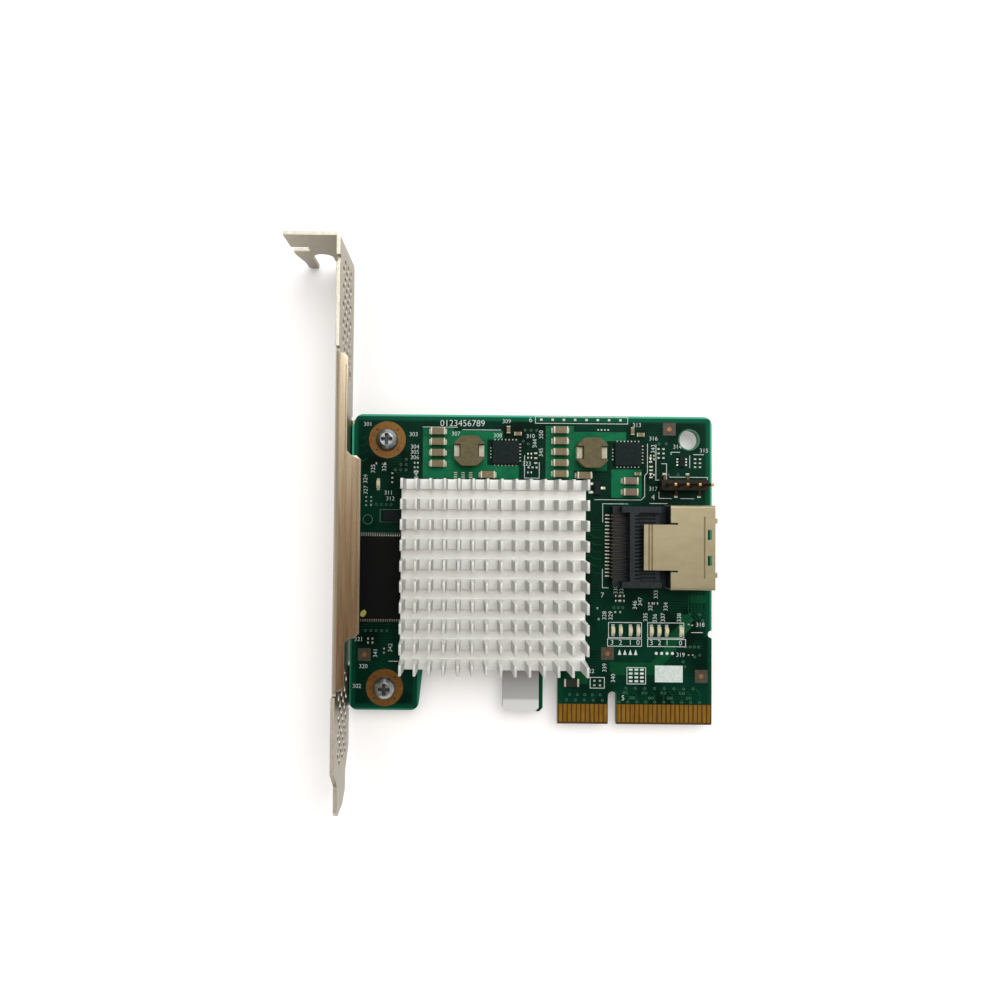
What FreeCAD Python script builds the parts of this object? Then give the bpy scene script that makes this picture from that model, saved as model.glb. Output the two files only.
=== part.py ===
import FreeCAD, Part
import Sketcher
import math
import os
import re

# Host bus adapter: a low-profile plug-in board on a full-height bracket, in millimetres.
# The origin is the middle of the key notch at the bottom of the card edge, half-way through the board.
# X runs from the bracket to the far end, Y from the card edge to the top, Z out of the component side.

doc = FreeCAD.newDocument("host_bus_adapter")
sheet = doc.addObject("Spreadsheet::Sheet", "dims")

DIMENSIONS = {
    # Board outline
    "board_thick": 1.57,
    "board_reach": 58.7,
    "board_top": 68.9,
    "tongue_left": 12.15,
    "tongue_right": 22.15,
    "shoulder": 13.4,
    "foot_right": 43.3,
    "foot_slant": 1.1,
    "foot_bottom": 2.8,
    "leg_left": 24.4,
    "leg_right": 15.5,
    "leg_bottom": 2.8,
    "leg_chamfer": 0.8,
    "corner_round": 1.9,
    "corner_step": 0.55,
    "corner_step_high": 2.6,
    "notch_width": 1.9,
    "notch_straight": 6.35,
    "edge_bevel": 0.45,
    "bite_height": 20.2,
    "bite_width": 1.7,
    # Board holes
    "screw_left": 50.8,
    "screw_top": 63.15,
    "screw_low": 7.75,
    "screw_hole": 3.3,
    "spare_right": 17.05,
    "spare_height": 63.7,
    "spare_hole": 4.3,
    # Edge contacts
    "contact_pitch": 1.0,
    "contact_width": 0.72,
    "contact_first": 1.5,
    "contact_low": 0.6,
    "contact_high": 4.5,
    "contact_film": 0.05,
    # Folded bracket: blade and tail
    "steel": 0.86,
    "blade_width": 18.42,
    "blade_gap": 0.35,
    "bracket_height": 120.02,
    "tab_top": 104.1,
    "taper_near": 5.5,
    "taper_near_run": 4.0,
    "taper_far": 5.8,
    "taper_far_run": 4.0,
    "tail_width": 10.2,
    "tail_inset": 4.12,
    "tail_near_chamfer": 1.0,
    "tail_far_chamfer": 3.4,
    "tail_far_run": 2.0,
    "bend_outer": 1.2,
    "bend_inner": 0.34,
    "relief_depth": 1.4,
    "relief_width": 0.8,
    "relief_gap": 0.5,
    "tab_relief": 98.0,
    "tab_relief_width": 1.4,
    "overcut": 1.0,
    # Folded bracket: vents
    "vent": 1.95,
    "vent_pitch": 3.72,
    "vent_top": 99.4,
    "vent_upper_end": 76.9,
    "vent_lower_end": 12.2,
    "vent_low": -5.0,
    # Folded bracket: lip along the near edge
    "lip_low": 11.0,
    "lip_high": 79.35,
    "lip_narrow": 2.65,
    "lip_wide": 5.5,
    "lip_wide_low": 21.7,
    "lip_wide_high": 58.5,
    "lip_end_round": 1.4,
    "lip_step_cut": 0.9,
    # Folded bracket: ears under the board
    "ear_length": 13.6,
    "ear_width": 9.0,
    "ear_chamfer": 1.4,
    "ear_hole": 3.0,
    # Folded bracket: screw tab
    "tab_reach": 11.0,
    "slot_from_blade": 5.2,
    "slot_width": 4.42,
    "slot_seat": 5.2,
    "prong_over": 2.0,
    "prong_short": 2.0,
    "prong_width": 2.5,
    "prong_round": 1.15,
    "tab_slant": 2.0,
    "tab_notch_depth": 3.7,
    "tab_notch_far": 9.0,
    "tab_notch_near": 11.5,
    # Screws
    "head_wide": 4.9,
    "head_flat": 2.9,
    "head_rim": 0.95,
    "head_high": 1.9,
    "shank_wide": 2.9,
    "recess_long": 2.6,
    "recess_wide": 0.75,
    "recess_deep": 1.0,
    # Heatsink, pad and controller
    "sink_left": 47.1,
    "sink_low": 13.0,
    "sink_long": 40.2,
    "sink_wide": 41.2,
    "sink_under": 2.6,
    "sink_floor": 5.1,
    "sink_top": 11.2,
    "cross_floor": 4.6,
    "cross_gap": 2.08,
    "fin_root": 1.1,
    "fin_tip": 0.55,
    "chip_side": 27.0,
    "chip_lid": 22.0,
    "chip_base": 1.1,
    "chip_high": 2.3,
    # Flash memory
    "flash_left": 57.0,
    "flash_low": 23.1,
    "flash_long": 18.4,
    "flash_wide": 12.0,
    "flash_high": 1.1,
    "flash_stand": 0.15,
    "flash_lead_pitch": 0.5,
    "flash_lead_wide": 0.24,
    "flash_lead_out": 0.8,
    "flash_lead_foot": 0.45,
    "flash_lead_top": 0.3,
    "flash_shoulder": 0.6,
    "flash_lead_thick": 0.2,
    # Power parts
    "inductor_side": 6.7,
    "inductor_cut": 1.6,
    "inductor_high": 3.0,
    "inductor_slot_deep": 1.4,
    "inductor_slot_wide": 2.9,
    "terminal_play": 0.05,
    "terminal_high": 1.9,
    "converter_long": 6.0,
    "converter_wide": 5.2,
    "converter_high": 0.9,
    "capacitor_long": 3.2,
    "capacitor_wide": 1.6,
    "capacitor_high": 1.5,
    # Cable port
    "port_left": -0.6,
    "port_mouth": 21.0,
    "port_low": 30.6,
    "port_wide": 18.4,
    "port_high": 5.5,
    "port_play": 0.06,
    "shell_thick": 0.3,
    "shell_rear": 11.35,
    "shell_round": 0.5,
    "tongue_rear": 5.55,
    "tongue_low": 34.86,
    "tongue_wide": 9.91,
    "tongue_slit": 0.4,
    "tongue_slit_end": 12.9,
    "bead_first": 0.95,
    "bead_step": 0.65,
    "bead_width": 0.3,
    "bead_deep": 0.12,
    "crease_left": 18.5,
    "crease_inset": 2.5,
    "window_left": 19.35,
    "window_long": 0.85,
    "window_low": 35.95,
    "window_wide": 2.15,
    "window_step": 5.6,
    "nub_long": 0.45,
    "nub_wide": 1.1,
    "nub_inset": 2.8,
    "housing_inset": 0.2,
    "socket_rear": 12.5,
    "socket_floor": 1.0,
    "socket_wall": 1.4,
    "bar_rear": 2.6,
    "bar_front": 4.6,
    "bar_teeth": 0.9,
    "rear_step": 2.6,
    "front_step": 3.6,
    "front_wall": 1.0,
    "wing_rear": 0.9,
    "wing_front": 9.5,
    "gap_floor": 1.6,
    "groove_deep": 0.6,
    "tail_pitch": 0.8,
    "tail_wide": 0.36,
    "tail_first": 32.85,
    "tail_thick": 0.2,
    "tail_foot": 1.2,
    "tail_play": 0.03,
    "tail_gap": 0.05,
    # Pin header
    "header_left": 10.2,
    "header_low": 52.25,
    "header_long": 10.4,
    "header_wide": 2.4,
    "header_high": 2.5,
    "header_stand": 0.45,
    "pin_first": 11.5,
    "pin_pitch": 2.6,
    "pin_side": 0.64,
    "pin_high": 8.5,
    "pin_foot": 2.7,
    "pin_foot_thick": 0.4,
    # Lamps and small parts
    "lamp_long": 1.7,
    "lamp_wide": 0.85,
    "lamp_high": 0.6,
    "lamp_lens": 0.9,
    "lamp_row": 20.95,
    "small_lead_thick": 0.15,
    "resistor_long": 1.0,
    "resistor_wide": 0.5,
    "resistor_high": 0.35,
    "small_ceramic_high": 0.8,
    "film_thick": 0.1,
    "film_margin": 0.9,
}

for row, (alias, size) in enumerate(DIMENSIONS.items(), 1):
    sheet.set(f"A{row}", alias)
    sheet.set(f"B{row}", str(size))
    sheet.setAlias(f"B{row}", alias)
doc.recompute()

# The board's two faces, and the bracket's faces and long edges
COMPONENT_SIDE = "board_thick / 2"
SOLDER_SIDE = "-board_thick / 2"
BLADE_IN = "-board_reach - blade_gap"
BLADE_OUT = "-board_reach - blade_gap - steel"
FAR_EDGE = "-board_thick / 2 - steel"
NEAR_EDGE = "-board_thick / 2 - steel + blade_width"

PLANE_SIDE = {"XY_Plane": 1, "XZ_Plane": -1, "YZ_Plane": 1}
EDGE_TOLERANCE = 0.02
subparts = []


def bound(text):
    """An expression on the sheet, from plain words and numbers."""
    return re.sub(r"[a-z]\w+", lambda word: "dims." + word.group(0), text)


def number(text):
    return float(sheet.evalExpression(bound(text)))


def keep(thing, label):
    thing.Label = label
    subparts.append(thing)


def block(name, corner, size):
    thing = doc.addObject("Part::Box", name)
    for side, text in zip(("Length", "Width", "Height"), size):
        thing.setExpression(side, bound(text))
    for axis, text in zip("xyz", corner):
        thing.setExpression(f"Placement.Base.{axis}", bound(text))
    return thing


def block_on_board(name, middle, size):
    corner = (f"{middle[0]} - {size[0]} / 2", f"{middle[1]} - {size[1]} / 2", COMPONENT_SIDE)
    return block(name, corner, size)


def group(name, members):
    thing = doc.addObject("Part::Compound", name)
    thing.Links = members
    return thing


def joined(name, members):
    thing = doc.addObject("Part::MultiFuse", name)
    thing.Shapes = members
    return thing


def cut(name, base, tool):
    thing = doc.addObject("Part::Cut", name)
    thing.Base = base
    thing.Tool = tool
    return thing


def new_body(name):
    return doc.addObject("PartDesign::Body", name)


def origin_feature(body, role):
    return next(feature for feature in body.Origin.OriginFeatures if feature.Role == role)


def sketch_on(body, name, role, start):
    sketch = body.newObject("Sketcher::SketchObject", name)
    sketch.AttachmentSupport = [(origin_feature(body, role), "")]
    sketch.MapMode = "FlatFace"
    sketch.setExpression("AttachmentOffset.Base.z", bound(f"{PLANE_SIDE[role]} * ({start})"))
    return sketch


def pin_point(sketch, geometry, end, point):
    for kind, text in zip(("DistanceX", "DistanceY"), point):
        index = sketch.addConstraint(Sketcher.Constraint(kind, geometry, end, number(text)))
        sketch.setExpression(f"Constraints[{index}]", bound(text))


def polygon(sketch, corners):
    spots = [FreeCAD.Vector(number(across), number(up), 0) for across, up in corners]
    first = sketch.GeometryCount
    count = len(spots)
    for side in range(count):
        sketch.addGeometry(Part.LineSegment(spots[side], spots[(side + 1) % count]), False)
    for side in range(count):
        following = first + (side + 1) % count
        sketch.addConstraint(Sketcher.Constraint("Coincident", first + side, 2, following, 1))
    for side, corner in enumerate(corners):
        pin_point(sketch, first + side, 1, corner)


def rectangle(left, low, wide, high):
    return [(left, low), (f"{left} + {wide}", low), (f"{left} + {wide}", f"{low} + {high}"),
            (left, f"{low} + {high}")]


def circle(sketch, centre, across):
    spot = FreeCAD.Vector(number(centre[0]), number(centre[1]), 0)
    index = sketch.addGeometry(Part.Circle(spot, FreeCAD.Vector(0, 0, 1), number(across) / 2), False)
    pin_point(sketch, index, 3, centre)
    width = sketch.addConstraint(Sketcher.Constraint("Diameter", index, number(across)))
    sketch.setExpression(f"Constraints[{width}]", bound(across))


def pad(body, name, role, start, length, corners):
    """Solid on an outline, from start along the plane's own axis."""
    sketch = sketch_on(body, name + "_outline", role, start)
    polygon(sketch, corners)
    feature = body.newObject("PartDesign::Pad", name)
    feature.Profile = sketch
    feature.setExpression("Length", bound(length))
    feature.Reversed = PLANE_SIDE[role] < 0
    doc.recompute()
    return feature


def pocket(body, name, role, start, length, draw):
    """Cut from start along the plane's own axis; draw puts the outlines on the sketch."""
    before = body.Shape.Volume
    sketch = sketch_on(body, name + "_outline", role, start)
    draw(sketch)
    feature = body.newObject("PartDesign::Pocket", name)
    feature.Profile = sketch
    feature.setExpression("Length", bound(length))
    feature.Reversed = PLANE_SIDE[role] > 0
    doc.recompute()
    if feature.Shape.Volume >= before:
        raise ValueError(name + " cuts nothing")
    return feature


def outlines(*shapes):
    """Drawing of several polygons for a pocket."""
    def draw(sketch):
        for corners in shapes:
            polygon(sketch, corners)

    return draw


def repeated(body, name, features, role, count, span):
    """Straight row of features along one of the body's own axes."""
    pattern = body.newObject("PartDesign::LinearPattern", name)
    pattern.Originals = features
    pattern.Direction = (origin_feature(body, role), [""])
    pattern.setExpression("Length", bound(span))
    pattern.Occurrences = count
    body.Tip = pattern
    doc.recompute()


def straight_edge(axis, through):
    """Test for a straight edge along an axis, through the given coordinates."""
    wanted = {index: number(text) for index, text in through.items()}

    def test(edge):
        if not isinstance(edge.Curve, Part.Line):
            return False
        first, last = (vertex.Point for vertex in edge.Vertexes)
        if abs(abs((last - first)[axis]) - edge.Length) > EDGE_TOLERANCE:
            return False
        middle = (first + last) / 2
        return all(abs(middle[index] - spot) < EDGE_TOLERANCE for index, spot in wanted.items())

    return test


def dress(body, name, kind, axis, places, setting, size):
    """Fillet or chamfer on the body's straight edges along an axis through any of the places."""
    base = body.Tip
    tests = [straight_edge(axis, through) for through in places]
    names = [f"Edge{index}" for index, edge in enumerate(base.Shape.Edges, 1)
             if any(test(edge) for test in tests)]
    if not names:
        raise ValueError(name + " finds no edge")
    feature = body.newObject(kind, name)
    feature.Base = (base, names)
    feature.setExpression(setting, bound(size))
    doc.recompute()


def rounded(body, name, axis, places, radius):
    dress(body, name, "PartDesign::Fillet", axis, places, "Radius", radius)


def bevelled(body, name, axis, places, size):
    dress(body, name, "PartDesign::Chamfer", axis, places, "Size", size)


ALONG_X = 0
ALONG_Y = 1
ALONG_Z = 2


def make_board():
    body = new_body("board")
    half_notch = "notch_width / 2"
    stepped = "-board_reach + corner_step"
    step_low = "board_top - corner_step_high"
    pad(body, "panel", "XY_Plane", SOLDER_SIDE, "board_thick", [
        ("-board_reach", "foot_bottom"),
        ("-foot_right", "foot_bottom"),
        ("-foot_right + foot_slant", "shoulder"),
        ("-leg_left", "shoulder"),
        ("-leg_left", "leg_bottom + leg_chamfer"),
        ("-leg_left + leg_chamfer", "leg_bottom"),
        ("-leg_right - leg_chamfer", "leg_bottom"),
        ("-leg_right", "leg_bottom + leg_chamfer"),
        ("-leg_right", "shoulder"),
        ("-tongue_left", "shoulder"),
        ("-tongue_left", "0"),
        (f"-{half_notch}", "0"),
        (f"-{half_notch}", "notch_straight"),
        (half_notch, "notch_straight"),
        (half_notch, "0"),
        ("tongue_right", "0"),
        ("tongue_right", "board_top"),
        (stepped, "board_top"),
        (stepped, f"{step_low} + corner_step"),
        ("-board_reach", step_low),
    ])
    rounded(body, "corners", ALONG_Z, [
        {0: "-board_reach", 1: "foot_bottom"},
        {0: "-foot_right", 1: "foot_bottom"},
        {0: "tongue_right", 1: "board_top"},
        {0: stepped, 1: "board_top"},
    ], "corner_round")

    def round_cuts(sketch):
        circle(sketch, ("-screw_left", "screw_top"), "screw_hole")
        circle(sketch, ("-screw_left", "screw_low"), "screw_hole")
        circle(sketch, ("spare_right", "spare_height"), "spare_hole")
        circle(sketch, ("tongue_right", "bite_height"), "bite_width")
        circle(sketch, ("0", "notch_straight"), "notch_width")

    pocket(body, "round_cuts", "XY_Plane", SOLDER_SIDE, "board_thick", round_cuts)
    plug_edges = [{1: "0", 2: level} for level in (COMPONENT_SIDE, SOLDER_SIDE)]
    bevelled(body, "card_edge", ALONG_X, plug_edges, "edge_bevel")
    keep(body, "circuit_board")


def make_edge_contacts():
    """Gold fingers on both faces, left and right of the key notch."""
    body = new_body("fingers")
    left_count = 11
    right_count = 21
    rows = [("left", f"-contact_first - {left_count - 1} * contact_pitch", left_count),
            ("right", "contact_first", right_count)]
    faces = [("front", COMPONENT_SIDE), ("back", f"{SOLDER_SIDE} - contact_film")]
    for side, first, count in rows:
        outline = rectangle(f"{first} - contact_width / 2", "contact_low",
                            "contact_width", "contact_high - contact_low")
        fingers = [pad(body, f"{side}_{face}", "XY_Plane", level, "contact_film", outline)
                   for face, level in faces]
        repeated(body, f"fingers_{side}", fingers, "X_Axis", count, f"{count - 1} * contact_pitch")
    keep(body, "edge_contacts")


def vent_middles():
    """Staggered rows of vents, above the lip's wide stretch and below it."""
    rows = 6
    pitch = number("vent_pitch")
    middle = number(f"{FAR_EDGE} + blade_width / 2")
    for row in range(rows):
        across = middle + (row - (rows - 1) / 2) * pitch / 2
        up = number("vent_top") - (row % 2) * pitch / 2
        while up > number("vent_low"):
            if up > number("vent_upper_end") or up < number("vent_lower_end"):
                yield FreeCAD.Vector(up, across, 0)
            up -= pitch


def vents(sketch):
    """Six-sided punched vents with a corner at their top and bottom."""
    sides = 6
    radius = number("vent") / 2
    turns = [2 * math.pi * side / sides for side in range(sides)]
    ring = [FreeCAD.Vector(radius * math.cos(turn), radius * math.sin(turn), 0) for turn in turns]
    for middle in vent_middles():
        for side in range(sides):
            line = Part.LineSegment(middle + ring[side], middle + ring[(side + 1) % sides])
            sketch.addGeometry(line, False)


def add_blade(body):
    tail_tip = "tab_top - bracket_height"
    tail_far = f"{FAR_EDGE} + tail_inset"
    tail_near = f"{FAR_EDGE} + tail_inset + tail_width"
    pad(body, "blade", "YZ_Plane", BLADE_OUT, "steel", [
        ("tab_top", FAR_EDGE),
        ("tab_top", NEAR_EDGE),
        ("-taper_near", NEAR_EDGE),
        ("-taper_near - taper_near_run", tail_near),
        (f"{tail_tip} + tail_near_chamfer", tail_near),
        (tail_tip, f"{tail_near} - tail_near_chamfer"),
        (tail_tip, f"{tail_far} + tail_far_chamfer"),
        (f"{tail_tip} + tail_far_run", tail_far),
        ("-taper_far - taper_far_run", tail_far),
        ("-taper_far", FAR_EDGE),
    ])


def add_lip(body):
    narrow = f"{BLADE_OUT} + lip_narrow"
    wide = f"{BLADE_OUT} + lip_wide"
    pad(body, "lip", "XY_Plane", f"{NEAR_EDGE} - steel", "steel", [
        (BLADE_OUT, "lip_low"),
        (narrow, "lip_low"),
        (narrow, "lip_wide_low - lip_step_cut"),
        (f"{narrow} + lip_step_cut", "lip_wide_low"),
        (f"{wide} - lip_step_cut", "lip_wide_low"),
        (wide, "lip_wide_low + lip_step_cut"),
        (wide, "lip_wide_high - lip_step_cut"),
        (f"{wide} - lip_step_cut", "lip_wide_high"),
        (f"{narrow} + lip_step_cut", "lip_wide_high"),
        (narrow, "lip_wide_high + lip_step_cut"),
        (narrow, "lip_high"),
        (BLADE_OUT, "lip_high"),
    ])
    ends = [{0: narrow, 1: level} for level in ("lip_low", "lip_high")]
    rounded(body, "lip_ends", ALONG_Z, ends, "lip_end_round")


def add_ear(body, name, level):
    low = f"{level} - ear_width / 2"
    high = f"{level} + ear_width / 2"
    end = f"{BLADE_OUT} + ear_length"
    pad(body, name, "XY_Plane", FAR_EDGE, "steel", [
        (BLADE_OUT, low),
        (f"{end} - ear_chamfer", low),
        (end, f"{low} + ear_chamfer"),
        (end, f"{high} - ear_chamfer"),
        (f"{end} - ear_chamfer", high),
        (BLADE_OUT, high),
    ])


def add_tab(body):
    slot = f"{BLADE_OUT} - slot_from_blade"
    slot_left = f"{slot} - slot_width / 2"
    slot_right = f"{slot} + slot_width / 2"
    seat = f"{FAR_EDGE} + slot_seat"
    tab_end = f"{BLADE_OUT} - tab_reach"
    notch_end = f"{tab_end} + tab_notch_depth"
    prong_left = f"{slot_left} - prong_width"
    prong_tip = f"{FAR_EDGE} - prong_over"
    pad(body, "tab", "XZ_Plane", "tab_top - steel", "steel", [
        (BLADE_IN, NEAR_EDGE),
        (tab_end, NEAR_EDGE),
        (tab_end, f"{FAR_EDGE} + tab_notch_near"),
        (notch_end, f"{FAR_EDGE} + tab_notch_near"),
        (notch_end, f"{FAR_EDGE} + tab_notch_far"),
        (tab_end, f"{FAR_EDGE} + tab_notch_far"),
        (tab_end, f"{FAR_EDGE} + tab_notch_far - tab_slant"),
        (prong_left, f"{FAR_EDGE} + tab_slant"),
        (prong_left, prong_tip),
        (slot_left, prong_tip),
        (slot_left, seat),
        (slot_right, seat),
        (slot_right, f"{FAR_EDGE} - prong_short"),
        (BLADE_OUT, f"{FAR_EDGE} - prong_short"),
        (BLADE_OUT, FAR_EDGE),
        (BLADE_IN, FAR_EDGE),
    ])
    pocket(body, "screw_slot", "XZ_Plane", "tab_top - steel", "steel",
           lambda sketch: circle(sketch, (slot, seat), "slot_width"))
    rounded(body, "prong_round", ALONG_Y, [{0: prong_left, 2: prong_tip}, {0: slot_left, 2: prong_tip}],
            "prong_round")


def relief_outlines():
    """Slots that end the folds: three in the near edge, and one at each side of both ears."""
    near_slots = [("tab_relief", "tab_relief_width"),
                  ("lip_high + relief_gap", "relief_width"),
                  ("lip_low - relief_gap - relief_width", "relief_width")]
    depth = "relief_depth + overcut"
    shapes = [rectangle(low, f"{NEAR_EDGE} - relief_depth", width, depth) for low, width in near_slots]
    for level in ("screw_top", "screw_low"):
        for low in (f"{level} - ear_width / 2 - relief_width", f"{level} + ear_width / 2"):
            shapes.append(rectangle(low, f"{FAR_EDGE} - overcut", "relief_width", depth))
    return shapes


def make_bracket():
    """One sheet, punched and folded: lip, two ears and the screw tab."""
    body = new_body("bracket")
    add_blade(body)
    add_lip(body)
    add_ear(body, "ear_top", "screw_top")
    add_ear(body, "ear_low", "screw_low")
    add_tab(body)
    pocket(body, "reliefs", "YZ_Plane", BLADE_OUT, "steel", outlines(*relief_outlines()))
    lip_middle = "(lip_low + lip_high) / 2"
    rounded(body, "bends_outside", ALONG_Y, [
        {0: BLADE_OUT, 1: lip_middle, 2: NEAR_EDGE},
        {0: BLADE_OUT, 1: "screw_top", 2: FAR_EDGE},
        {0: BLADE_OUT, 1: "screw_low", 2: FAR_EDGE},
    ], "bend_outer")
    rounded(body, "tab_bend", ALONG_Z, [{0: BLADE_IN, 1: "tab_top"}], "bend_outer")
    rounded(body, "bends_inside", ALONG_Y, [
        {0: BLADE_IN, 1: lip_middle, 2: f"{NEAR_EDGE} - steel"},
        {0: BLADE_IN, 1: "screw_top", 2: f"{FAR_EDGE} + steel"},
        {0: BLADE_IN, 1: "screw_low", 2: f"{FAR_EDGE} + steel"},
    ], "bend_inner")
    pocket(body, "vents", "YZ_Plane", BLADE_OUT, "steel", vents)

    def ear_holes(sketch):
        circle(sketch, ("-screw_left", "screw_top"), "ear_hole")
        circle(sketch, ("-screw_left", "screw_low"), "ear_hole")

    pocket(body, "ear_holes", "XY_Plane", FAR_EDGE, "steel", ear_holes)
    keep(body, "mounting_bracket")


def cross_outline(across, up):
    """Plus-shaped outline of a cross recess."""
    long = "recess_long / 2"
    wide = "recess_wide / 2"
    quarter = [(long, wide), (wide, wide), (wide, long)]
    upper = quarter + [(f"-{right}", high) for right, high in reversed(quarter)]
    corners = upper + [(right, f"-{high}") for right, high in reversed(upper)]
    return [(f"{across} + ({right})", f"{up} + ({high})") for right, high in corners]


def make_screws():
    """Pan-head screws, turned and then pressed with a cross recess."""
    body = new_body("screws")
    profile = sketch_on(body, "half_section", "XZ_Plane", "screw_low")
    profile.setExpression("AttachmentOffset.Base.x", bound("-screw_left"))
    polygon(profile, [
        ("0", FAR_EDGE),
        ("shank_wide / 2", FAR_EDGE),
        ("shank_wide / 2", COMPONENT_SIDE),
        ("head_wide / 2", COMPONENT_SIDE),
        ("head_wide / 2", f"{COMPONENT_SIDE} + head_rim"),
        ("head_flat / 2", f"{COMPONENT_SIDE} + head_high"),
        ("0", f"{COMPONENT_SIDE} + head_high"),
    ])
    turned = body.newObject("PartDesign::Revolution", "turned")
    turned.Profile = profile
    turned.ReferenceAxis = (profile, ["V_Axis"])
    turned.Angle = 360
    doc.recompute()
    recess = pocket(body, "recess", "XY_Plane", f"{COMPONENT_SIDE} + head_high - recess_deep", "recess_deep",
                    outlines(cross_outline("-screw_left", "screw_low")))
    repeated(body, "screw_pair", [turned, recess], "Y_Axis", 2, "screw_top - screw_low")
    keep(body, "bracket_screws")


def make_heatsink():
    """Extruded fins, cut across into pins."""
    fins = 14
    rows = 10
    body = new_body("sink")
    left = "-sink_left"
    floor = f"{COMPONENT_SIDE} + sink_floor"
    top = f"{COMPONENT_SIDE} + sink_top"
    lean = "(fin_root - fin_tip) / 2"
    pad(body, "sink_base", "XY_Plane", f"{COMPONENT_SIDE} + sink_under", "sink_floor - sink_under",
        rectangle(left, "sink_low", "sink_long", "sink_wide"))
    fin = pad(body, "fin", "XZ_Plane", "sink_low", "sink_wide", [
        (left, floor),
        (f"{left} + fin_root", floor),
        (f"{left} + fin_root - {lean}", top),
        (f"{left} + {lean}", top),
    ])
    repeated(body, "fins", [fin], "X_Axis", fins, "sink_long - fin_root")
    pin_pitch = f"(sink_wide + cross_gap) / {rows}"
    cross_cut = pocket(body, "cross_cut", "YZ_Plane", left, "sink_long", outlines(rectangle(
        f"sink_low + {pin_pitch} - cross_gap", f"{COMPONENT_SIDE} + cross_floor",
        "cross_gap", "sink_top - cross_floor + overcut")))
    repeated(body, "cross_cuts", [cross_cut], "Y_Axis", rows - 1, f"{pin_pitch} * {rows - 2}")
    keep(body, "heatsink")


def make_controller():
    """Chip with a raised lid, and the soft pad that joins the lid to the heatsink."""
    middle = ("-sink_left + sink_long / 2", "sink_low + sink_wide / 2")
    base = block_on_board("chip_board", middle, ("chip_side", "chip_side", "chip_base"))
    lid = block_on_board("chip_lid", middle, ("chip_lid", "chip_lid", "chip_high"))
    keep(joined("controller", [base, lid]), "controller_chip")
    corner = (f"{middle[0]} - chip_lid / 2", f"{middle[1]} - chip_lid / 2", f"{COMPONENT_SIDE} + chip_high")
    keep(block("soft_pad", corner, ("chip_lid", "chip_lid", "sink_under - chip_high")), "thermal_pad")


def make_flash():
    """Thin package with a row of bent leads at each end."""
    leads = 24
    case = block("flash", ("-flash_left", "flash_low", f"{COMPONENT_SIDE} + flash_stand"),
                 ("flash_wide", "flash_long", "flash_high - flash_stand"))
    keep(case, "flash_memory")
    body = new_body("flash_leads")
    span = f"{leads - 1} * flash_lead_pitch"
    first = f"-flash_left + (flash_wide - {span} - flash_lead_wide) / 2"
    shoulder = f"{COMPONENT_SIDE} + flash_shoulder"
    ends = []
    for name, face, outward in (("low", "flash_low", "-"), ("high", "flash_low + flash_long", "+")):
        ends.append(pad(body, "lead_" + name, "YZ_Plane", first, "flash_lead_wide", [
            (f"{face} {outward} flash_lead_out", COMPONENT_SIDE),
            (f"{face} {outward} (flash_lead_out - flash_lead_foot)", COMPONENT_SIDE),
            (face, f"{shoulder} - flash_lead_thick"),
            (face, shoulder),
            (f"{face} {outward} flash_lead_top", shoulder),
        ]))
    repeated(body, "lead_rows", ends, "X_Axis", leads, span)
    keep(body, "flash_memory_leads")


INDUCTORS = {"left": ("-32.4", "60.65"), "right": ("-5.1", "60.45")}
CONVERTERS = {"left": ("-24.2", "60.5"), "right": ("3.25", "60.35")}


def make_inductor(side, middle):
    """Moulded eight-sided block with a slot in each end for its terminal."""
    half = "inductor_side / 2"
    inset = "(inductor_side / 2 - inductor_cut)"
    deep = "(inductor_side / 2 - inductor_slot_deep)"
    slot = "inductor_slot_wide / 2"
    right_top = [(deep, slot), (half, slot), (half, inset), (inset, half)]
    top = right_top + [(f"-{across}", up) for across, up in reversed(right_top)]
    corners = top + [(across, f"-{up}") for across, up in reversed(top)]
    body = new_body("inductor_" + side)
    pad(body, "core_" + side, "XY_Plane", COMPONENT_SIDE, "inductor_high",
        [(f"{middle[0]} + ({across})", f"{middle[1]} + ({up})") for across, up in corners])
    keep(body, "inductor_" + side)
    size = ("inductor_slot_deep - terminal_play", "inductor_slot_wide - 2 * terminal_play", "terminal_high")
    low = f"{middle[1]} - {slot} + terminal_play"
    ends = [block("terminal", (left, low, COMPONENT_SIDE), size)
            for left in (f"{middle[0]} - {half}", f"{middle[0]} + {deep} + terminal_play")]
    keep(group("terminals_" + side, ends), f"inductor_{side}_terminals")


def make_power_parts():
    for side, middle in INDUCTORS.items():
        make_inductor(side, middle)
    for side, middle in CONVERTERS.items():
        size = ("converter_long", "converter_wide", "converter_high")
        keep(block_on_board("converter", middle, size), "converter_" + side)


CAPACITORS = {
    "input": [("-39.4", "65.1"), ("-39.4", "62.75"), ("-39.4", "60.3"), ("-39.4", "57.85")],
    "output": [("-11.95", "65.6"), ("-11.95", "63.15"), ("-11.95", "60.7"), ("-11.95", "58.25"),
               ("-11.95", "55.8")],
    "bypass": [("-28.2", "55.45"), ("-6.62", "55.5"), ("3.73", "54.35"), ("3.73", "51.85")],
}


def make_capacitors():
    size = ("capacitor_long", "capacitor_wide", "capacitor_high")
    for bank, middles in CAPACITORS.items():
        for index, middle in enumerate(middles, 1):
            keep(block_on_board("ceramic", middle, size), f"{bank}_capacitor_{index}")


PORT_CONTACTS = 18
PORT_HIGH_SIDE = "port_low + port_wide"
PORT_ROOF = "board_thick / 2 + port_high - shell_thick"
PORT_SPAN = f"{PORT_CONTACTS - 1} * tail_pitch"


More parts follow.
